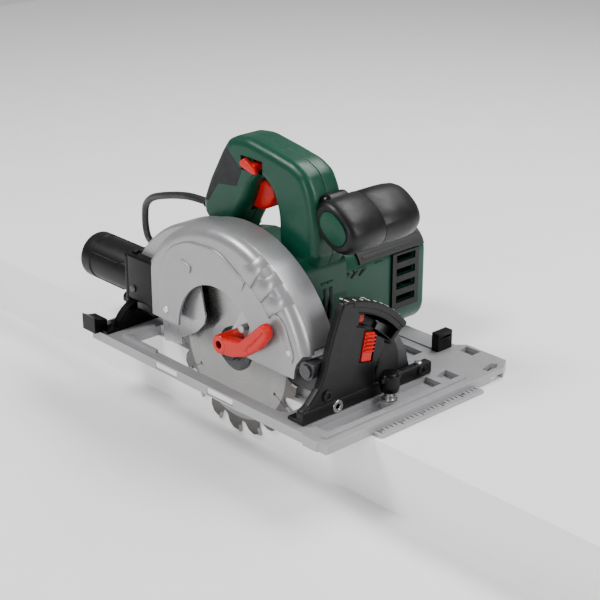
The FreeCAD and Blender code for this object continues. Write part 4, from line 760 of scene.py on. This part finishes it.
def louvre(name, high, low, height):
    """A raised step across the guard's shoulder: a ramp, a flat lip and a sudden fall."""
    stations = [(high + 5.5 - 1.1 * k, height * (k / 5) ** 1.8) for k in range(6)]
    stations += [(low, height), (low - 0.35, height * 0.7), (low - 0.5, 0)]
    rings = []
    for degrees, lift in stations:
        bulge = []
        for turn in (0, 20, 40, 58, 72):
            x, y = polar(SHOULDER_ROUND + lift, 90 - turn)
            bulge.append((SHOULDER_START + x, SHOULDER_ROUND - y))
        section = [(88, 0.5), (88.6, -lift * 0.4), (91, -lift)] + bulge + [(111, 12)]
        ring = []
        for radius, y in section:
            x, z = polar(radius, degrees, 0, 25)
            ring.append(Vector((x, GUARD_FACE + y, z)) * MM)
        rings.append(ring)
    return skin_rings(name, rings, GUARD, sharp=50)


def step_edge(name, points, height, width):
    """The border of a raised field: a rounded step outside that runs out gently inwards."""
    line = fillet(points, 45, 8, closed=False)
    rings = []
    for i, here in enumerate(line):
        way = (line[min(i + 1, len(line) - 1)] - line[max(i - 1, 0)]).normalized()
        inward = Vector((way.y, -way.x))
        section = [(0, 0.5), (0.2, -height * 0.55), (0.8, -height * 0.95), (1.8, -height), (width, 0.06),
                   (width, 0.5)]
        ring = [in_space("y", here.x + inward.x * d, here.y + inward.y * d, GUARD_FACE + y)
                for d, y in section]
        rings.append(ring)
    return skin_rings(name, rings, GUARD, sharp=50)


def make_guard_details():
    """The raised rectangle, the stepped ridges and the edge lines on the near guard."""
    plate = block("guard_badge", (-47, GUARD_FACE - 1.5, 92.5), (-33, GUARD_FACE + 0.5, 99.5), GUARD, 0.6)
    parts = [turn_about(plate, (-40, GUARD_FACE, 96), "Y", 16)]
    for i, (high, low) in enumerate(((64, 59), (54, 49), (44, 39.5))):
        parts.append(louvre("guard_louvre_%d" % i, high, low, 2.2))
    edge = [(-79.5, 46), (-80, 72.6), (-66, 107), (-36, 121), (4, 123.5), (39, 104.5)]
    parts.append(step_edge("guard_plateau", edge, 1.6, 14))
    parts.append(step_edge("guard_front_edge", [(73, 89), (87, 84), (99, 58), (97, 50)], 1.4, 10))
    steps = 24
    outline = [polar(127, 97 + 66 * i / steps, -16, 8) for i in range(steps + 1)]
    outline += [polar(111, 163 - 70 * i / steps, 0, 25) for i in range(steps + 1)]
    outline = [(x, z) for x, z in outline if x > -123]
    parts.append(slab("duct_shoulder", outline, "y", -12.5, -8.6, GUARD, 2.6, 0.2, 1.2, 5, 3))
    for x, z in ((-70, 46), (93, 58)):
        profile = [(-23.2, 0), (-23.2, 2.6), (-22.4, 3.4), (-21.5, 3.4), (-21.5, 0)]
        parts.append(lathe("guard_rivet_%d" % x, "y", (x, z), profile, STEEL, 0.3))
    settle(join("guard_mouldings", parts), "saw", "guard_metal")


def make_dust_port():
    """The charcoal extraction nozzle: block, sloping web and ribbed round port."""
    y, z = 2, 56.5
    profile = [(-132, 18.2), (-203, 18.2), (-203, 21.4), (-202, 22), (-189.5, 22), (-189, 21), (-126, 21),
               (-126, 18.2)]
    tube_part = lathe("port_tube", "x", (y, z), profile, CHARCOAL, 0.5, 96)
    shut = slab("port_block", [(-126, 41), (-126, 84), (-90, 84), (-90, 41)], "y", -22, -9.4, BLACK, 1.6,
                0.6, 2)
    collar = slab("port_collar", [(-22, 36.5), (13, 36.5), (13, 83.5), (-22, 83.5)], "x", -130, -125.4,
                  BLACK, 1, 1, 3)
    web = slab("port_web", [(-126, 46), (-126, 84), (-112, 84), (-146, 68), (-146, 50)], "y", -16, -9, BLACK,
               1.4, 1, 2)
    profile = [(-23.6, 0), (-23.6, 2.2), (-23.2, 3.6), (-21, 3.6), (-21, 0)]
    lug = lathe("port_lug", "y", (-118, 52), profile, DARK_STEEL)
    for part in (shut, collar, web):
        drill = lathe("bore", "x", (y, z), [(-205, 0), (-205, 18.1), (-121, 18.1), (-121, 0)], BLACK, 0)
        boolean(part, drill, "DIFFERENCE")
    parts = [tube_part, shut, collar, web, lug]
    for i, angle in enumerate((55, 150, 235, 330)):
        across, up = polar(21.2, angle, y, z)
        parts.append(block("port_rib_%d" % i, (-188, across - 0.7, up - 0.7), (-148, across + 0.7, up + 0.7),
                           CHARCOAL, 0.4))
    settle(join("dust_port_detail", parts), "saw", "charcoal_plastic", "dust_adapter")


# ---------------------------------------------------------------- base and bevel quadrant

def make_base_details():
    parts = []
    for i, (start, end) in enumerate(((-56, -26), (15, 49))):
        low, high = (start + 0.6, -46.3, 2.2), (end - 0.6, -44.8, 8.9)
        parts.append(block("side_strip_%d" % i, low, high, STRIP, 0.4))
    strips = join("side_strips", parts)
    settle(strips, "base", "cast_base")

    parts = []
    for i in range(25):
        tall = 6.4 if i % 5 == 0 else 4.2
        at = 9 + 4.9 * i
        low, high = (163.8, at - 0.3, 2.8), (163.8 + tall, at + 0.3, 3.35)
        parts.append(block("rule_mark_%d" % i, low, high, BLACK, 0.1))
    for i in range(5):
        place = Vector((166.4, 11.4 + 24.5 * i, 3.1)) * MM
        spin = Matrix.Translation(place) @ Matrix.Rotation(math.pi / 2, 4, "Z")
        parts.append(number("rule_number_%d" % i, str(i), 4.2, spin, BLACK, 0.15))
    settle(join("rule_marks", parts), "base", "cast_base")


def sector(inner, outer, start, end, steps=18):
    """An outline of a ring's slice about the bevel axis."""
    rim = [polar(outer, start + (end - start) * i / steps) for i in range(steps + 1)]
    return rim + [polar(inner, end - (end - start) * i / steps) for i in range(steps + 1)]


QUADRANT_RADIUS = 104
RIM_START, RIM_TURN = 39, 47
WINDOW_OUTER, WINDOW_INNER = 93, 83
QUADRANT_BACK, QUADRANT_FACE = 119.6, 127
STOP_FOOT = (124.5, 24, 46)
STOP_LEAN = -12


def make_quadrant():
    """The fixed bevel quadrant: a ribbed plate, its broad rim, the foot bar and the rear block."""
    rim = [polar(QUADRANT_RADIUS, RIM_START + RIM_TURN * i / 22) for i in range(23)]
    neck = [polar(79.5, RIM_START + 4 * i) for i in (2, 1, 0)]
    arm = [(3, 97), (-3, 82), (-9, 66), (-13, 50), (-20, 36), (-31, 25), (-39, 21), (-38.6, 9.3), (44, 9.3),
           (44, 34), (50, 44), (55, 54)]
    web = slab("quadrant_web", rim + arm + neck, "x", QUADRANT_BACK, QUADRANT_FACE, CHARCOAL, 0.8, 2.2, 1.5,
               5, 4)
    boolean(web, cutter(sector(WINDOW_INNER, WINDOW_OUTER, 42, 74), "x", 110, 140), "DIFFERENCE")

    def stop_slot():
        slot = cutter([(24, 46), (40, 46), (40, 84), (24, 84)], "x", 124.4, 132)
        return turn_about(slot, STOP_FOOT, "X", STOP_LEAN)

    boolean(web, stop_slot(), "DIFFERENCE")
    inner = [polar(98, 80.5 - 41.5 * i / 18) for i in range(19)]
    outer = [polar(104.4, 39 + 41.5 * i / 18) for i in range(19)]
    band = slab("quadrant_band", outer + inner, "x", 114.6, 127.6, CHARCOAL, 1.4, 1.4, 1, 4, 3)
    lips = []
    for name, low, high in (("window_lip", WINDOW_OUTER, WINDOW_OUTER + 1.6),
                            ("window_sill", WINDOW_INNER - 1.6, WINDOW_INNER)):
        outline = sector(low, high, 41, 75)
        lips.append(slab(name, outline, "x", 126, 128, CHARCOAL, 0.1, 0.7, 0.5, 3, 3))
    boolean(lips[1], stop_slot(), "DIFFERENCE")
    bar = slab("quadrant_bar", [(-39, 9.05), (113, 9.05), (113, 21), (-39, 21)], "x", 119.6, 127.4, CHARCOAL,
               0.8, 1.2, 1.2)
    wall = slab("quadrant_back", [(44, 15), (76, 15), (76, 40), (70, 54), (56, 54)], "x", 119.7, 123,
                CHARCOAL, 0.6, 1, 1.5)
    foot = slab("quadrant_foot", [(-38.6, 9.05), (-19, 9.05), (-19, 12.3), (-38.6, 12.3)], "x", 108.2, 121,
                CHARCOAL, 0.8, 0.8, 0.8)
    parts = [web, band, bar, wall, foot] + lips
    for i, (y, z) in enumerate(((-12, 28), (70, 16), (100, 16))):
        profile = [(126, 0), (126, 5), (128.6, 5), (129.2, 4.4), (129.2, 2.4), (127.6, 2.2), (127.6, 0)]
        parts.append(lathe("quadrant_boss_%d" % i, "x", (y, z), profile, CHARCOAL, 0.3, 32))
    settle(join("quadrant_detail", parts), "base", "charcoal_plastic", "front_quadrant")
    profile = [(126.6, 0), (126.6, 5.6), (128, 5.6), (128.6, 5), (128.6, 3), (127.4, 2.8), (127.4, 0)]
    eye = lathe("quadrant_eye", "x", (0, 15), profile, STEEL, 0.3, 40)
    settle(eye, "base", "bright_steel")


def make_quadrant_details():
    """The angle scale on the quadrant's rim, its pointer and the ribbed red stop."""
    parts = []
    for i in range(10):
        angle = 42 + 4.6 * i
        across, up = polar(104.55, angle)
        long = 3.4 if i % 3 == 0 else 2
        mark = block("angle_mark_%d" % i, (127 - long - 2.6, across - 0.25, up - 0.3),
                     (127 - 0.8, across + 0.25, up + 0.2), WHITE_PRINT, 0.1)
        parts.append(turn_about(mark, (124, across, up), "X", angle - 90))
    for text, angle in (("0", 83.4), ("15", 69.6), ("30", 55.8), ("45", 43)):
        across, up = polar(104.5, angle)
        place = Vector((118, across, up)) * MM
        lean = Matrix.Rotation(math.radians(angle - 90), 4, "X")
        spin = Matrix.Translation(place) @ lean @ Matrix.Rotation(math.pi / 2, 4, "Z")
        parts.append(number("angle_" + text, text, 4.4, spin, WHITE_PRINT, 0.12))
    settle(join("angle_scale", parts), "base", "charcoal_plastic")

    outline = [(26.3, 46.3), (37.7, 46.3), (37.7, 71.7), (26.3, 71.7)]
    parts = [slab("stop_body", outline, "x", 124.5, 127.6, RED, 0.4, 0.8, 1.2)]
    for i in range(5):
        up = 55 + 3.3 * i
        outline = [(26.6, up), (37.4, up), (37.4, up + 1.9), (26.6, up + 1.9)]
        parts.append(slab("stop_rib_%d" % i, outline, "x", 126.5, 129.9, RED, 0.2, 0.8, 0.6))
    whole = turn_about(join("bevel_stop_detail", parts), (124.5, 26, 46), "X", STOP_LEAN)
    settle(whole, "bevel_stop", "red_plastic", "bevel_stop_slider")

    window = polar(88, 69)
    profile = [(111.8, 0), (111.8, 3.2), (117, 3.2), (117, 4.6), (120.5, 4.4), (121.4, 3.2), (121.4, 0)]
    pointer = lathe("angle_pointer", "x", window, profile, RED)
    outline = [(26, 79), (34, 87), (44, 81), (62, 66), (54, 56), (40, 68)]
    arm = slab("pointer_arm", outline, "x", 112.3, 116.4, CHARCOAL, 0.4, 1.2, 3)
    settle(pointer, "tilt_frame", "red_plastic")
    settle(arm, "tilt_frame", "charcoal_plastic")


def make_guide_knob():
    """The wing knob of the guide clamp: its hub and its wing."""
    x, y = 139, 49
    hub = lathe("knob_hub", "z", (x, y), [(17, 4.1), (17, 7.5), (22, 8.5), (32, 8.5), (34, 6.5), (34, 0)],
                BLACK, 1, 48)
    wing = slab("knob_wing", [(37, 27), (61, 27), (61, 31), (58.6, 33.6), (39.4, 33.6), (37, 31)], "x",
                136.2, 141.8, BLACK, 1.2, 1.2, 1.6)
    settle(join("guide_knob_detail", [hub, wing]), "guide_clamp", "charcoal_plastic", "guide_clamp_knob")


# ---------------------------------------------------------------- motor

def make_motor_details():
    """Screws, raised panel lines, black slabs as painted shade in the side slots and vent notches, and the
    bumper's ribs.
    """
    parts = []
    for i, (x, z) in enumerate(((-36, 26), (36, 26), (-36, 90), (36, 90))):
        profile = [(190.6, 0), (190.6, 2.4), (189.8, 3.4), (188.8, 3.4), (188.8, 0)]
        parts.append(lathe("cap_screw_%d" % i, "y", (x, z), profile, DARK_STEEL, 0.3))
    settle(join("cap_screws", parts), "saw", "zinc_steel")

    parts = []
    for i, (y, z, wide) in enumerate(((96, 84, 16), (96, 36, 20), (124, 84, 10))):
        parts.append(block("panel_bar_%d" % i, (46.2, y, z), (47.2, y + wide, z + 1.6), GREEN, 0.4, "x"))
    for i, y in enumerate((36, 43)):
        # Painted shade: a thin black slab stands for the dark inside of each side slot.
        outline = [(60, 52), (67.9, 52), (70.6, 62), (72.4, 76), (71.7, 92), (62, 92)]
        parts.append(slab("side_slot_%d" % i, outline, "y", y, y + 4, BLACK, 0.2, 0.2, 0.5))
        outline = [(60, 95), (72.2, 95), (72, 97.4), (60, 97.4)]
        parts.append(slab("side_rib_%d" % i, outline, "y", y - 2, y + 4.5, GREEN, 0.6, 0.6, 0.8))
    for side in (-1, 1):
        for i in range(3):
            y = 88 + 10 * i
            low, high = sorted((side * 46.2, side * 47.3))
            # Painted shade: thin black slabs on the housing stand for the dark inside of the vent notches.
            outline = [(y - 4, 78), (y + 4, 83), (y + 4, 85), (y + 1, 85), (y - 5, 79.4)]
            parts.append(slab("notch_%d_%d" % (side, i), outline, "x", low, high, BLACK, 0.2, 0.2, 0.4))
    settle(join("motor_mouldings", parts), "saw", "green_plastic")

    parts = []
    for i, angle in enumerate((30, 48, 66)):
        x, z = polar(24, angle, 24.5, 81.5)
        rib = block("bumper_rib_%d" % i, (x - 1.4, 108, z - 0.5), (x + 1.4, 183, z + 0.5), PAD, 0.45)
        parts.append(turn_about(rib, (x, 150, z), "Y", 90 - angle))
    settle(join("bumper_ribs", parts), "saw", "bumper_grey")


def main():
    make_camera()
    make_stage()
    finish_cad_nodes()
    make_lead()
    make_strain_relief()
    make_handle()
    make_handle_screws()
    make_controls()
    make_front_bar()
    make_guard_lever()
    make_guard_details()
    make_dust_port()
    make_base_details()
    make_quadrant()
    make_quadrant_details()
    make_guide_knob()
    make_motor_details()


main()
